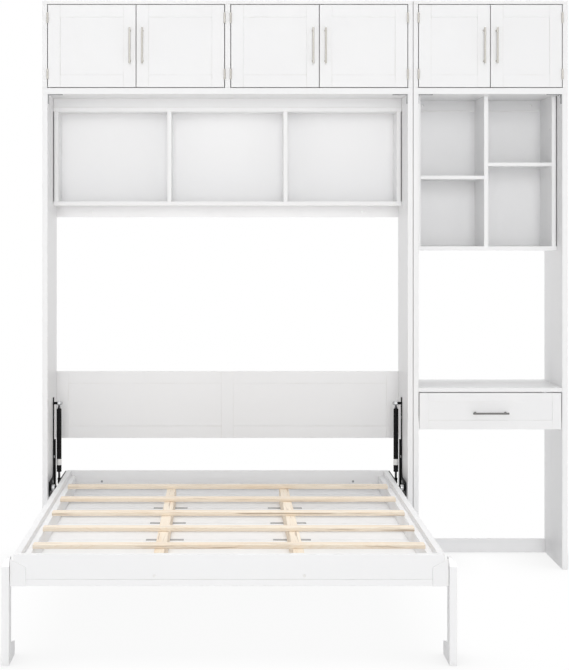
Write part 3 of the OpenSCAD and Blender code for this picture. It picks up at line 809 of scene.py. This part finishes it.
def cover_cap(radius: float, height: float) -> Shape:
    """A plastic cap along Z from the origin, with a rim and a shallow dish.

    Args:
        radius: The cap's radius.
        height: The rim's height.

    Returns:
        The cap, as a new bmesh.
    """
    shares = ((0.0, 0.0), (1.0, 0.0), (1.0, 0.6), (0.9, 1.0), (0.78, 1.0), (0.7, 0.75), (0.0, 0.7))
    return turned([(r * radius, h * height) for r, h in shares], segments=24)


def number_planks(bm: Shape) -> None:
    """Gives each separate plank its own number, which its grain reads.

    Args:
        bm: The planks, in one shape; they are counted along Y, and side by side along X.
    """
    layer = bm.verts.layers.float.new(PLANK)
    left, planks = set(bm.verts), []
    while left:
        reached = [left.pop()]
        for vert in reached:
            for edge in vert.link_edges:
                other = edge.other_vert(vert)
                if other in left:
                    left.remove(other)
                    reached.append(other)
        planks.append(reached)
    planks.sort(key=lambda verts: tuple(min(round(v.co[i], 2) for v in verts) for i in (1, 0)))
    for number, verts in enumerate(planks):
        for vert in verts:
            vert[layer] = 1.0 + number


def placed(name: str, data: bpy.types.ID) -> bpy.types.Object:
    """A new object in the scene that shows a mesh, a lamp or a camera."""
    made = bpy.data.objects.new(name, data)
    bpy.context.scene.collection.objects.link(made)
    return made


def placed_mesh(bm: Shape, name: str, material: bpy.types.Material) -> bpy.types.Object:
    """A new object in the scene, made from a shape.

    Args:
        bm: The shape, which is used up.
        name: The object's name.
        material: Its one material.

    Returns:
        The object.
    """
    mesh = bpy.data.meshes.new(name)
    bm.to_mesh(mesh)
    bm.free()
    mesh.materials.append(material)
    return placed(name, mesh)


def finish_mesh(
    bm: Shape, name: str, finish: Finish, node: str, stands_for_it: bool = True
) -> None:
    """Makes a piece from a bmesh, which is used up.

    Args:
        bm: The shape, in the frame's metres.
        name: The piece's name.
        finish: Its finish.
        node: The CAD node whose body it rides on.
        stands_for_it: Whether it also stands for that node.
    """
    for edge in bm.edges:
        edge.smooth = not bends(edge, SHARP)
    for face in bm.faces:
        face.smooth = True
    piece = placed_mesh(bm, name, finish.build())
    flat = piece.modifiers.new("flat_faces_stay_flat", "WEIGHTED_NORMAL")
    flat.weight = 100
    flat.keep_sharp = True
    body = frame["nodes"][node]["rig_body"]
    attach(piece, body)
    if stands_for_it:
        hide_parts(node)
    log.info("%s: %d faces on %s", name, len(piece.data.polygons), body)


def box(node: str) -> tuple[Vector, Vector]:
    """The lowest and the highest corner of a CAD node."""
    low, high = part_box(node)
    return Vector(low), Vector(high)


def joint_place(name: str) -> Vector:
    """Where a CAD joint stands."""
    return Vector(next(j["pos_m"] for j in frame["joints"] if j["name"] == name))


# --------------------------------------------------------------- sub-assemblies


@dataclass
class Assembly:
    """A sub-assembly; every kind makes its own pieces."""

    def build(self) -> None:
        """Makes the pieces."""
        raise NotImplementedError

    @staticmethod
    def eased(nodes: Sequence[str], finish: Finish, width: float) -> None:
        """Makes a piece with rounded edges from each of some CAD nodes."""
        for node in nodes:
            finish_mesh(ease(merged_copy(node), width), f"{node}_board", finish, node)


@dataclass
class FramedPanel(Assembly):
    """A frame of stiles and rails round one or more sunk panels, which faces the room."""

    node: str
    frame_w: float
    recess: float = 4.0 * MM
    fields: int = 1
    edge: float = 0.9 * MM
    inner_edge: float = 0.5 * MM

    def build(self) -> None:
        """One piece, its boards meeting in fine joints."""
        low, high = box(self.node)
        bm, w = bmesh.new(), self.frame_w
        y = (low.y, high.y)
        pitch = (high.x - low.x - w) / self.fields
        for i in range(self.fields + 1):
            x = low.x + i * pitch
            join(bm, span_board((x, x + w), y, (low.z, high.z), self.edge))
        for i in range(self.fields):
            x = (low.x + i * pitch + w, low.x + (i + 1) * pitch)
            join(bm, span_board(x, y, (low.z, low.z + w), self.edge))
            join(bm, span_board(x, y, (high.z - w, high.z), self.edge))
            sunk = (low.y + self.recess, high.y)
            join(bm, span_board(x, sunk, (low.z + w, high.z - w), self.inner_edge))
        finish_mesh(bm, f"{self.node}_framed", PAINT, self.node)


@dataclass
class BarHandle:
    """A round bar on two posts, along Z, that stands out along -Y from the origin."""

    length: float = 152 * MM
    radius: float = 4 * MM
    end: float = 1.2 * MM
    post_radius: float = 3.5 * MM
    post_gap: float = 128 * MM
    post_foot: float = -0.3 * MM
    finger_gap: float = 24 * MM
    collar: Range = (5.2 * MM, 1.6 * MM)

    def shape(self) -> Shape:
        """The bar, its posts and their collars.

        Returns:
            The handle, as a new bmesh.
        """
        out = self.finger_gap + self.radius
        bm = rod(self.radius, self.length, self.end)
        bm.transform(Matrix.Translation((0, -out, -self.length / 2)))
        r, (wide, thick) = self.post_radius, self.collar
        post = [
            (0.0, self.post_foot), (wide, self.post_foot), (wide, 0.6 * thick),
            (0.85 * wide, thick), (r, thick + 0.2 * MM), (r, out - 0.8 * self.radius),
            (0.92 * r, out), (0.0, out),
        ]
        for side in (-1, 1):
            up = Matrix.Translation((0, 0, side * self.post_gap / 2))
            join(bm, turned(post, segments=24), up @ OUT_OF_FRONT)
        return bm


@dataclass
class Hinge:
    """A butt hinge in the gap beside a door: two leaves, three knuckles and a pin."""

    length: float = 44 * MM
    knuckle: float = 4 * MM
    rim: float = 0.5 * MM
    leaf: Range = (1.2 * MM, 14 * MM)
    edge: float = 0.2 * MM
    stand: float = 4.3 * MM
    half_gap: float = 1.5 * MM
    play: float = 0.25 * MM
    pin_share: float = 0.55
    pin_end: float = 0.6 * MM

    def half(self, knuckles: Sequence[int], pinned: bool) -> Shape:
        """One half of the hinge, with its leaf on the right of the axis.

        Args:
            knuckles: Which thirds of the length have a knuckle of this half.
            pinned: Whether the pin belongs to this half.

        Returns:
            The half, with its axis at the origin.
        """
        third, r, rim = self.length / 3, self.knuckle, self.rim
        x = (self.half_gap - self.leaf[0], self.half_gap)
        y = (self.stand, self.stand + self.leaf[1])
        bm = span_board(x, y, (-self.length / 2, self.length / 2), self.edge)
        for k in knuckles:
            low, high = (k - 0.5) * third + self.play, (k + 0.5) * third - self.play
            profile = [
                (0.0, low), (r - rim, low), (r, low + rim),
                (r, high - rim), (r - rim, high), (0.0, high),
            ]
            join(bm, turned(profile, segments=20))
            join(bm, span_board(x, (0.0, self.stand + rim), (low, high), self.edge))
        if pinned:
            past = self.pin_end
            pin = rod(self.pin_share * r, self.length + 2 * past, past)
            join(bm, pin, Matrix.Translation((0, 0, -self.length / 2 - past)))
        return bm


@dataclass
class Doors(Assembly):
    """The six framed doors with their handles and hinges."""

    count: int = 6
    frame_w: float = 52 * MM
    hinge_in: float = 55 * MM
    handle_in: float = 25 * MM
    hinge: Hinge = field(default_factory=Hinge)
    handle: BarHandle = field(default_factory=BarHandle)

    def build(self) -> None:
        """Each door with its fittings, and the hinge halves on the cabinets."""
        fixed = bmesh.new()
        for number in range(1, self.count + 1):
            FramedPanel(f"door_{number}", self.frame_w).build()
            on_left = number % 2 == 1
            low, high = box(f"door_{number}")
            axis = joint_place(f"door_{number}_hinge")
            moving = self.handle.shape()
            grip_x = high.x - self.handle_in if on_left else low.x + self.handle_in
            moving.transform(Matrix.Translation((grip_x, low.y, (low.z + high.z) / 2)))
            for z in (low.z + self.hinge_in, high.z - self.hinge_in):
                place = Matrix.Translation((axis.x, axis.y, z))
                join(moving, self.hinge.half((0,), pinned=False), place @ mirrored(not on_left))
                join(fixed, self.hinge.half((-1, 1), pinned=True), place @ mirrored(on_left))
            node = f"door_fittings_{number}"
            finish_mesh(moving, f"{node}_metal", NICKEL, node)
        finish_mesh(fixed, "hinge_leaves_metal", NICKEL, "hinge_leaves")


@dataclass
class Carcass(Assembly):
    """The fixed boards: side panels, rails, cabinets and the open units."""

    edge: float = 1.0 * MM
    inside_edge: float = 0.7 * MM
    head_frame_w: float = 53 * MM
    white: tuple[str, ...] = (
        "bed_side_left", "bed_side_right", "desk_side_left", "desk_side_right",
        "base_rails", "apron_rail", "header_rail", "wide_cabinet_boards",
        "wide_cabinet_uprights", "narrow_cabinet_boards", "narrow_cabinet_sides",
    )
    inside: tuple[str, ...] = (
        "cubby_top", "cubby_bottom", "cubby_uprights", "cubby_back", "wide_cabinet_back",
        "narrow_cabinet_back", "hutch_bottom", "hutch_uprights", "hutch_shelves", "hutch_back",
    )

    def build(self) -> None:
        """White boards outside and laminate inside."""
        self.eased(self.white, PAINT, self.edge)
        # The inside boards take the lighter laminate, whose extra lightness is painted light in
        # the recesses.
        self.eased(self.inside, LAMINATE_WITH_PAINTED_LIGHT, self.inside_edge)
        FramedPanel("head_panel", self.head_frame_w, fields=2).build()


@dataclass
class Desk(Assembly):
    """The fixed desk top and its drawer."""

    top_edge: float = 1.5 * MM
    frame_w: float = 38 * MM
    wall: float = 12 * MM
    wall_edge: float = 0.8 * MM
    bottom: float = 6 * MM
    bottom_edge: float = 0.2 * MM
    runner_wall: float = 1.5 * MM
    runner_edge: float = 0.3 * MM
    runner_lip: float = 7 * MM
    flange_gap: float = 1.5 * MM
    lip_insets: Range = (3 * MM, 1.7 * MM)
    slide_insets: Range = (3 * MM, 4 * MM)
    slide_share: float = 0.28
    slide_edge: float = 1.2 * MM
    slide_short: float = 15 * MM
    web: Range = (5 * MM, 7 * MM)
    web_edge: float = 0.5 * MM

    def drawer_box(self) -> None:
        """The box: front, back and two sides round a bottom that is let into them."""
        low, high = box("drawer_box")
        t, z = self.wall, (low.z, high.z)
        bm = bmesh.new()
        inner = (low.x + t, high.x - t)
        for x in ((low.x, inner[0]), (inner[1], high.x)):
            join(bm, span_board(x, (low.y, high.y), z, self.wall_edge))
        for y in ((low.y, low.y + t), (high.y - t, high.y)):
            join(bm, span_board(inner, y, z, self.wall_edge))
        floor = (low.z, low.z + self.bottom)
        join(bm, span_board(inner, (low.y + t, high.y - t), floor, self.bottom_edge))
        # The drawer box takes the same lightened laminate, with its painted light.
        finish_mesh(bm, "drawer_box_boards", LAMINATE_WITH_PAINTED_LIGHT, "drawer_box")

    def runners(self) -> None:
        """On each side a channel on the panel, and the member in it that rides with the drawer."""
        low, high = box("drawer_runners")
        width = box("drawer_box")[0].x - low.x
        fixed, moving = bmesh.new(), bmesh.new()
        t, lip, edge = self.runner_wall, self.runner_lip, self.runner_edge
        mid, half = (low.z + high.z) / 2, self.slide_share * (high.z - low.z)
        y, short = (low.y, high.y), (low.y, high.y - self.slide_short)
        lips = (width - self.lip_insets[0], width - self.lip_insets[1])
        sliding = (self.slide_insets[0], width - self.slide_insets[1])
        web, web_half = self.web
        for face, right in ((low.x, False), (high.x, True)):
            flip = Matrix.Translation((face, 0, 0)) @ mirrored(right)
            channel = span_board((0, t), y, (low.z, high.z), edge)
            for z in ((low.z, low.z + t), (high.z - t, high.z)):
                join(channel, span_board((0, width - self.flange_gap), y, z, edge))
            for z in ((low.z, low.z + lip), (high.z - lip, high.z)):
                join(channel, span_board(lips, y, z, edge))
            join(fixed, channel, flip)
            slide = span_board(sliding, short, (mid - half, mid + half), self.slide_edge)
            tall = (mid - web_half, mid + web_half)
            join(slide, span_board((width - web, width), short, tall, self.web_edge))
            join(moving, slide, flip)
        finish_mesh(fixed, "runner_channels", ZINC, "drawer_runners")
        finish_mesh(moving, "runner_slides", ZINC, "drawer_box", stands_for_it=False)

    def build(self) -> None:
        """Desk top, drawer and runners."""
        self.eased(("desk_top",), PAINT, self.top_edge)
        FramedPanel("drawer_front", self.frame_w).build()
        self.drawer_box()
        self.runners()
        low, high = box("drawer_handle")
        bm = BarHandle().shape()
        middle = ((low.x + high.x) / 2, high.y, (low.z + high.z) / 2)
        bm.transform(Matrix.Translation(middle) @ along_x(1))
        # The handle takes the darker copy of the nickel, whose extra darkness is painted shade.
        finish_mesh(bm, "drawer_handle_bar", NICKEL_WITH_PAINTED_SHADE, "drawer_handle")


@dataclass
class Bed(Assembly):
    """The folding frame with its slats, its face boards and its two legs."""

    rail_edge: float = 1.5 * MM
    face_edge: float = 0.8 * MM
    block_edge: float = 2.5 * MM
    leg_edge: float = 2.0 * MM
    slat_edge: float = 3.0 * MM
    plate_edge: float = 0.3 * MM
    bolt_radius: float = 6 * MM
    bolt_in: float = 40 * MM
    cap: Range = (5 * MM, 1.5 * MM)
    head_screw: Range = (555 * MM, 37 * MM)
    foot_cap: Range = (248 * MM, 12 * MM)
    bearer_w: float = 38 * MM
    face_board: Range = (357 * MM, 6 * MM)
    joint_plate: Point = (140 * MM, 26 * MM, 1.5 * MM)

    def timber(self) -> None:
        """The pine slats and the bearers under them, each plank with its own grain."""
        for node, finish in (("slats", PINE_ACROSS), ("slat_bearers", PINE_ALONG)):
            bm = ease(merged_copy(node), self.slat_edge, segments=3)
            number_planks(bm)
            finish_mesh(bm, f"{node}_planks", finish, node)

    def bolts(self) -> None:
        """Leg hinge bolts and head rail screws in steel, and white caps in the foot rail."""
        low, high = box("bed_bolts")
        middle = joint_place("bed_fold").x
        bolts, screws, caps = bmesh.new(), bmesh.new(), bmesh.new()
        head = in_mm((0, 0.6), (3.4, 0.6), (3.8, 0), (9.5, 0), (11.5, 0.7), (12, 2))
        r, under_head = self.bolt_radius, head[-1][1]
        for name, out, inward in (("leg_left_fold", low.x, 1), ("leg_right_fold", high.x, -1)):
            hinge = joint_place(name)
            depth = abs(hinge.x - out) + self.bolt_in
            shank = [(r, under_head), (r, depth), (0.0, depth)]
            place = Matrix.Translation((out, hinge.y, hinge.z)) @ along_x(inward)
            join(bolts, turned([*head, *shank], segments=40), place)
        for group, shape, rail, (aside, up) in (
            (screws, socket_screw, "bed_head_rail", self.head_screw),
            (caps, cover_cap, "bed_foot_rail", self.foot_cap),
        ):
            corner = box(rail)[0]
            for side in (-1, 1):
                spot = (middle + side * aside, corner.y, corner.z + up)
                join(group, shape(*self.cap), Matrix.Translation(spot) @ OUT_OF_FRONT)
        finish_mesh(bolts, "bed_bolt_heads", ZINC, "bed_bolts")
        finish_mesh(screws, "head_rail_screws", DULL_ZINC, "bed_bolts")
        finish_mesh(caps, "foot_rail_caps", PAINT, "bed_bolts")

    def joint_plates(self) -> None:
        """Thin steel plates over the joints of the face boards, beside the two bearers."""
        low, high = box("bed_face_boards")
        first, last = box("slat_bearers")
        half, (pitch, seam) = self.bearer_w / 2, self.face_board
        length, width, thick = self.joint_plate
        bm = bmesh.new()
        z = (high.z, high.z + thick)
        for middle in (first.x + half, last.x - half):
            left, right = middle - length / 2, middle + length / 2
            y = low.y + pitch - seam / 2
            while y + width / 2 < min(high.y, last.y):
                for x in ((left, middle - half), (middle + half, right)):
                    join(bm, span_board(x, (y - width / 2, y + width / 2), z, self.plate_edge))
                y += pitch
        finish_mesh(bm, "face_joint_plates", DULL_ZINC, "bed_face_boards", stands_for_it=False)

    def build(self) -> None:
        """Rails, boards, timber, legs and bolts."""
        rails = ("bed_side_rails", "bed_head_rail", "bed_foot_rail", "slat_cleats")
        self.eased(rails, PAINT, self.rail_edge)
        self.eased(("bed_face_boards",), PAINT, self.face_edge)
        self.eased(("corner_blocks",), PAINT, self.block_edge)
        self.joint_plates()
        self.eased(("leg_left", "leg_right"), PAINT, self.leg_edge)
        self.timber()
        self.bolts()


@dataclass
class LiftGear(Assembly):
    """The steel plates and arms on which the bed turns, and the two gas struts."""

    plate_edge: float = 0.6 * MM
    neck: float = 22 * MM
    tube: Range = (10.5 * MM, 278 * MM)
    shaft: float = 5 * MM
    shaft_start: float = 8 * MM
    shaft_end: float = 0.8 * MM
    cap: float = 15 * MM
    bore_past: float = 3 * MM
    stud_back: float = 165 * MM
    eye: Range = (10 * MM, 12 * MM)
    pin: float = 5 * MM
    fit: float = 0.06 * MM
    eye_play: float = 1.06 * MM
    label: Range = (57 * MM, 26 * MM)
    label_skin: Range = (0.05 * MM, 0.15 * MM)
    label_wrap: Range = (math.radians(200), math.radians(-55))
    thread: Point = (1.25 * MM, 0.6 * MM, 0.45 * MM)
    neck_laps: Range = (1 * MM, 2 * MM)
    neck_nut: Range = (7.2 * MM, 4 * MM)
    foot_nut: Range = (8.2 * MM, 8 * MM)
    foot_nut_up: float = 9.2 * MM
    nut: Range = (8 * MM, 6 * MM)
    nut_off: float = 0.5 * MM
    washer: Range = (8.6 * MM, 0.4 * MM)
    washer_off: float = 0.05 * MM
    collar_in: float = 10.5 * MM

    def eye_ring(self, bore: float) -> Shape:
        """The eye at a strut's end, round X, with a raised rim on both sides.

        Args:
            bore: The radius of its bore.

        Returns:
            The ring, with its middle at the origin.
        """
        r, half = self.eye[0], self.eye[1] / 2
        edge, rim, slope = bore + 2.4 * MM, bore + 2.2 * MM, r - 0.6 * MM
        side = [
            (bore, half), (rim, half), (edge, half - 1 * MM),
            (slope, half - 1 * MM), (r, half - 1.6 * MM),
        ]
        ring = turned([*((x, -z) for x, z in side), *reversed(side), (bore, -half)], segments=36)
        ring.transform(along_x(1))
        return ring

    def tube_shape(self) -> Shape:
        """The closed tube: crimped shoulders, a groove near the seal and the shaft's bore.

        Returns:
            The tube, hanging from its eye at the origin.
        """
        r, length = self.tube
        top, low = -self.neck, -self.neck - length
        bore, deep = self.shaft + self.fit, low + length - self.cap + self.bore_past
        seal = in_mm(
            (3.2, 0), (1, 1.2), (0.2, 3), (0, 5), (0, 9), (0.9, 10), (0.9, 11.4), (0, 12.4)
        )
        shoulder = in_mm((0, 6), (0.5, 3.4), (2.2, 1.2), (4.6, 0))
        return turned(
            [
                (0.0, deep), (bore, deep), (bore, low + 0.4 * MM), (bore + 0.5 * MM, low),
                *((r - inset, low + up) for inset, up in seal),
                *((r - inset, top - down) for inset, down in shoulder),
                (0.0, top),
            ],
            segments=48,
        )

    def neck_shape(self) -> Shape:
        """The threaded neck between the tube and its eye, with a lock nut on it.

        Returns:
            The neck, hanging from the eye at the origin.
        """
        pitch, thinner, groove = self.thread
        r = self.shaft - thinner
        low, high = -self.neck - self.neck_laps[0], -self.eye[0] + self.neck_laps[1]
        profile = [(0.0, low)]
        for i in range(int((high - low) / pitch)):
            profile += [(r, low + i * pitch), (r - groove, low + (i + 0.5) * pitch)]
        bm = turned([*profile, (r, high), (0.0, high)], segments=24)
        join(bm, hex_nut(*self.neck_nut, self.shaft), Matrix.Translation((0, 0, -self.neck)))
        return bm

    def label_shape(self) -> Shape:
        """The blank label that wraps half of the tube, on the side of the bed's middle.

        Returns:
            The label, with its thickness.
        """
        low = -self.neck - self.tube[1] + self.label[0] - self.label[1]
        off, thick = self.label_skin
        wrap, start = self.label_wrap
        r = self.tube[0] + off
        bm = bmesh.new()
        ends = [bm.verts.new((0.0, -r, z)) for z in (low, low + self.label[1])]
        edge = bm.edges.new(ends)
        bmesh.ops.spin(
            bm, geom=[*ends, edge], cent=(0, 0, 0), axis=(0, 0, 1), angle=wrap, steps=24
        )
        turn = Matrix.Rotation(start, 3, "Z")
        bmesh.ops.rotate(bm, verts=bm.verts, cent=(0, 0, 0), matrix=turn)
        bmesh.ops.recalc_face_normals(bm, faces=bm.faces)
        bmesh.ops.solidify(bm, geom=bm.faces, thickness=-thick)
        bmesh.ops.recalc_face_normals(bm, faces=bm.faces)
        return bm

    def strut(self, side: str) -> None:
        """One gas strut, from its top pin to its stud.

        Args:
            side: The side of the bed, left or right.
        """
        top, pivot = joint_place(f"strut_{side}_turn"), joint_place("bed_fold")
        stud = Vector((top.x, pivot.y + self.stud_back, pivot.z))
        line = stud - top
        turn = Vector((0, 0, -1)).rotation_difference(line.normalized()).to_matrix().to_4x4()
        hung = Matrix.Translation(top) @ turn
        inward = hung @ mirrored(side == "right")
        free = line.length - self.neck - self.tube[1]
        shaft_l = free + self.tube[1] - self.cap - self.shaft_start
        foot = self.eye_ring(self.pin + self.eye_play)
        foot_nut = hex_nut(*self.foot_nut, self.shaft)
        join(foot, foot_nut, Matrix.Translation((0, 0, self.foot_nut_up)))
        stands = Matrix.Translation(stud) @ turn
        from_stud = stands @ Matrix.Translation((0, 0, self.shaft_start))
        for shape, part, finish, place, node in (
            (self.tube_shape(), "tube", GLOSS_BLACK, inward, "cylinder"),
            (self.eye_ring(self.pin + self.fit), "top_eye", ZINC, hung, "cylinder"),
            (self.neck_shape(), "neck", SHAFT_STEEL, hung, "cylinder"),
            (self.label_shape(), "label", LABEL, inward, "cylinder"),
            (rod(self.shaft, shaft_l, self.shaft_end), "shaft", SHAFT_STEEL, from_stud, "rod"),
            (foot, "foot", BLACK_STEEL, stands, "rod"),
        ):
            bm = bmesh.new()
            join(bm, shape, place)
            finish_mesh(bm, f"strut_{part}_{side}", finish, f"strut_{node}_{side}")

    def nuts(self) -> None:
        """A nut on each strut's top pin, and a turned collar on each bed pivot."""
        bm = bmesh.new()
        pivot = joint_place("bed_fold")
        half = self.eye[1] / 2
        wide, thick = self.washer
        washer = [(self.pin, 0.0), (wide, 0.0), (wide, thick), (self.pin, thick), (self.pin, 0.0)]
        collar = in_mm(
            (8, 0), (12.2, 0), (12.8, 0.8), (12.8, 5), (12, 5.6), (12, 6.4), (12.8, 7),
            (12.8, 11.2), (12.2, 12), (8, 12), (8, 0),
        )
        walls = {"left": box("bed_side_left")[1].x, "right": box("bed_side_right")[0].x}
        for side, inward in (("left", 1), ("right", -1)):
            top, lay = joint_place(f"strut_{side}_turn"), along_x(inward)
            for shape, start, at in (
                (hex_nut(*self.nut, self.pin), top.x + inward * (half + self.nut_off), top),
                (turned(washer), top.x + inward * (half + self.washer_off), top),
                (turned(collar, segments=40), walls[side] + inward * self.collar_in, pivot),
            ):
                join(bm, shape, Matrix.Translation((start, at.y, at.z)) @ lay)
        finish_mesh(bm, "strut_nut_set", ZINC, "strut_nuts")

    def build(self) -> None:
        """Plates, arms, struts and nuts."""
        self.eased(("lift_plates", "lift_arms"), BLACK_STEEL, self.plate_edge)
        for side in ("left", "right"):
            self.strut(side)
        self.nuts()


@dataclass
class Fixings(Assembly):
    """Corner brackets, plate screws and the caps in the shelf unit."""

    bracket_edge: float = 0.4 * MM
    head: Range = (6 * MM, 2.5 * MM)
    cap: Range = (5 * MM, 1.5 * MM)
    plate_t: float = 4 * MM
    plate_screws: tuple[Range, ...] = (
        (45 * MM, -16 * MM), (110 * MM, 8 * MM), (156 * MM, 110 * MM), (160 * MM, 283 * MM)
    )
    cap_heights: Range = (87 * MM, 141 * MM)
    cap_in: float = 40 * MM

    def build(self) -> None:
        """The brackets, the screws in the lift plates and the caps by the shelves."""
        self.eased(("corner_brackets",), DULL_ZINC, self.bracket_edge)
        screws, caps = bmesh.new(), bmesh.new()
        pivot = joint_place("bed_fold")
        walls = ((box("bed_side_left")[1].x, 1), (box("bed_side_right")[0].x, -1))
        for wall, inward in walls:
            for back, up in self.plate_screws:
                spot = (wall + inward * self.plate_t, pivot.y + back, pivot.z + up)
                join(screws, socket_screw(*self.head), Matrix.Translation(spot) @ along_x(inward))
        finish_mesh(screws, "plate_screw_heads", ZINC, "screws")
        floor = box("hutch_bottom")[1].z
        low, high = box("hutch_uprights")
        right = box("hutch_shelves")[1].x
        for z in (floor + self.cap_heights[0], high.z - self.cap_heights[1]):
            spot = (right, low.y + self.cap_in, z)
            join(caps, cover_cap(*self.cap), Matrix.Translation(spot) @ along_x(-1))
        finish_mesh(caps, "shelf_unit_caps", PAINT, "screws")


# ----------------------------------------------------------------------- studio


@dataclass(frozen=True)
class SoftSun:
    """A broad soft light from afar; its rise above the camera's axis is in degrees."""

    name: str
    strength: float
    rise: float
    softness: float


@dataclass
class Studio:
    """The photographer's camera, lamps and pale floor."""

    eye: Point = (-0.350, -6.6375, 1.450)
    sensor: float = 36.0
    lens: float = 92.04
    shift: Range = (0.0933, -0.1627)
    clip: Range = (0.1, 100.0)
    sky_level: float = 0.50
    sky_top: float = 0.55
    lamps: tuple[SoftSun, ...] = (
        SoftSun("front_key", 0.20, -4.0, 16.0),
        SoftSun("high_key", 0.47, 10.0, 18.0),
        SoftSun("overhead", 1.45, 92.0, 30.0),
    )
    floor_size: float = 30.0
    floor_tone: Colour = (0.88, 0.88, 0.88)
    floor_rough: float = 0.9
    floor_shine: float = 0.1
    shadow_reach: float = 0.30
    shadow_tone: float = 0.8

    def camera(self) -> None:
        """A level camera at the photograph's eye, looking along Y."""
        data = bpy.data.cameras.new("photo_camera")
        data.sensor_width, data.lens = self.sensor, self.lens
        data.shift_x, data.shift_y = self.shift
        data.clip_start, data.clip_end = self.clip
        eye = placed("photo_camera", data)
        eye.location = self.eye
        eye.rotation_euler = (math.pi / 2, 0.0, 0.0)
        bpy.context.scene.camera = eye

    @staticmethod
    def seen(w: Wiring) -> Socket:
        """1 for rays from the camera, or off gloss, or through glass, and otherwise 0."""
        rays = w.node("ShaderNodeLightPath").outputs
        direct = w.math("MAXIMUM", rays["Is Camera Ray"], rays["Is Glossy Ray"])
        return w.math("MAXIMUM", direct, rays["Is Transmission Ray"])

    def sky_light(self) -> None:
        """A soft sky that is brighter overhead, and plain white where it is seen."""
        world = bpy.data.worlds.new("studio_sky")
        bpy.context.scene.world = world
        world.use_nodes = True
        w = Wiring(world.node_tree)
        shader = world.node_tree.nodes["Background"].inputs
        w.feed(shader["Color"], (1.0, 1.0, 1.0))
        towards = w.node("ShaderNodeTexCoord").outputs["Generated"]
        up = w.node("ShaderNodeSeparateXYZ", {0: towards}).outputs["Z"]
        sky = w.spread(up, (0.0, 1.0), (self.sky_level, self.sky_top))
        seen = self.seen(w)
        hidden = w.math("SUBTRACT", 1.0, seen)
        w.feed(shader["Strength"], w.math("MULTIPLY_ADD", hidden, sky, seen))

    @staticmethod
    def shine(lamp: SoftSun) -> None:
        """Puts up one of the broad soft lights.

        Args:
            lamp: Its strength, direction and softness.
        """
        data = bpy.data.lights.new(lamp.name, "SUN")
        data.energy = lamp.strength
        data.angle = math.radians(lamp.softness)
        light = placed(lamp.name, data)
        light.rotation_euler = (math.radians(90 - lamp.rise), 0.0, 0.0)

    def floor(self) -> None:
        """A pale floor, plain white where it is seen but for the object's soft shadow."""
        bm = bmesh.new()
        bmesh.ops.create_grid(bm, x_segments=1, y_segments=1, size=self.floor_size)
        finish = bpy.data.materials.new("pale_floor")
        finish.use_nodes = True
        w, nodes = Wiring(finish.node_tree), finish.node_tree.nodes
        shader = nodes["Principled BSDF"]
        w.feed(shader.inputs["Base Color"], self.floor_tone)
        w.feed(shader.inputs["Roughness"], self.floor_rough)
        w.feed(shader.inputs["Specular IOR Level"], self.floor_shine)
        shade = w.node("ShaderNodeAmbientOcclusion", {"Distance": self.shadow_reach}, samples=8)
        dim = w.spread(shade.outputs["AO"], (0.0, 1.0), (self.shadow_tone, 1.0))
        glow = w.node("ShaderNodeEmission", {"Color": (1.0, 1.0, 1.0), "Strength": dim})
        blend = w.node(
            "ShaderNodeMixShader", {0: self.seen(w), 1: shader.outputs[0], 2: glow.outputs[0]}
        )
        w.feed(nodes["Material Output"].inputs["Surface"], blend.outputs[0])
        floor = placed_mesh(bm, "studio_floor", finish)
        floor.visible_shadow = False

    def build(self) -> None:
        """Camera, sky, lamps and floor."""
        bpy.context.scene.view_settings.view_transform = "Standard"
        self.camera()
        self.sky_light()
        for lamp in self.lamps:
            self.shine(lamp)
        self.floor()


def main() -> None:
    """Builds the studio and every sub-assembly of the object, in order."""
    logging.basicConfig(level=logging.INFO, format="%(message)s")
    Studio().build()
    for assembly in (Carcass(), Doors(), Desk(), Bed(), LiftGear(), Fixings()):
        assembly.build()


if __name__ == "__main__":
    main()
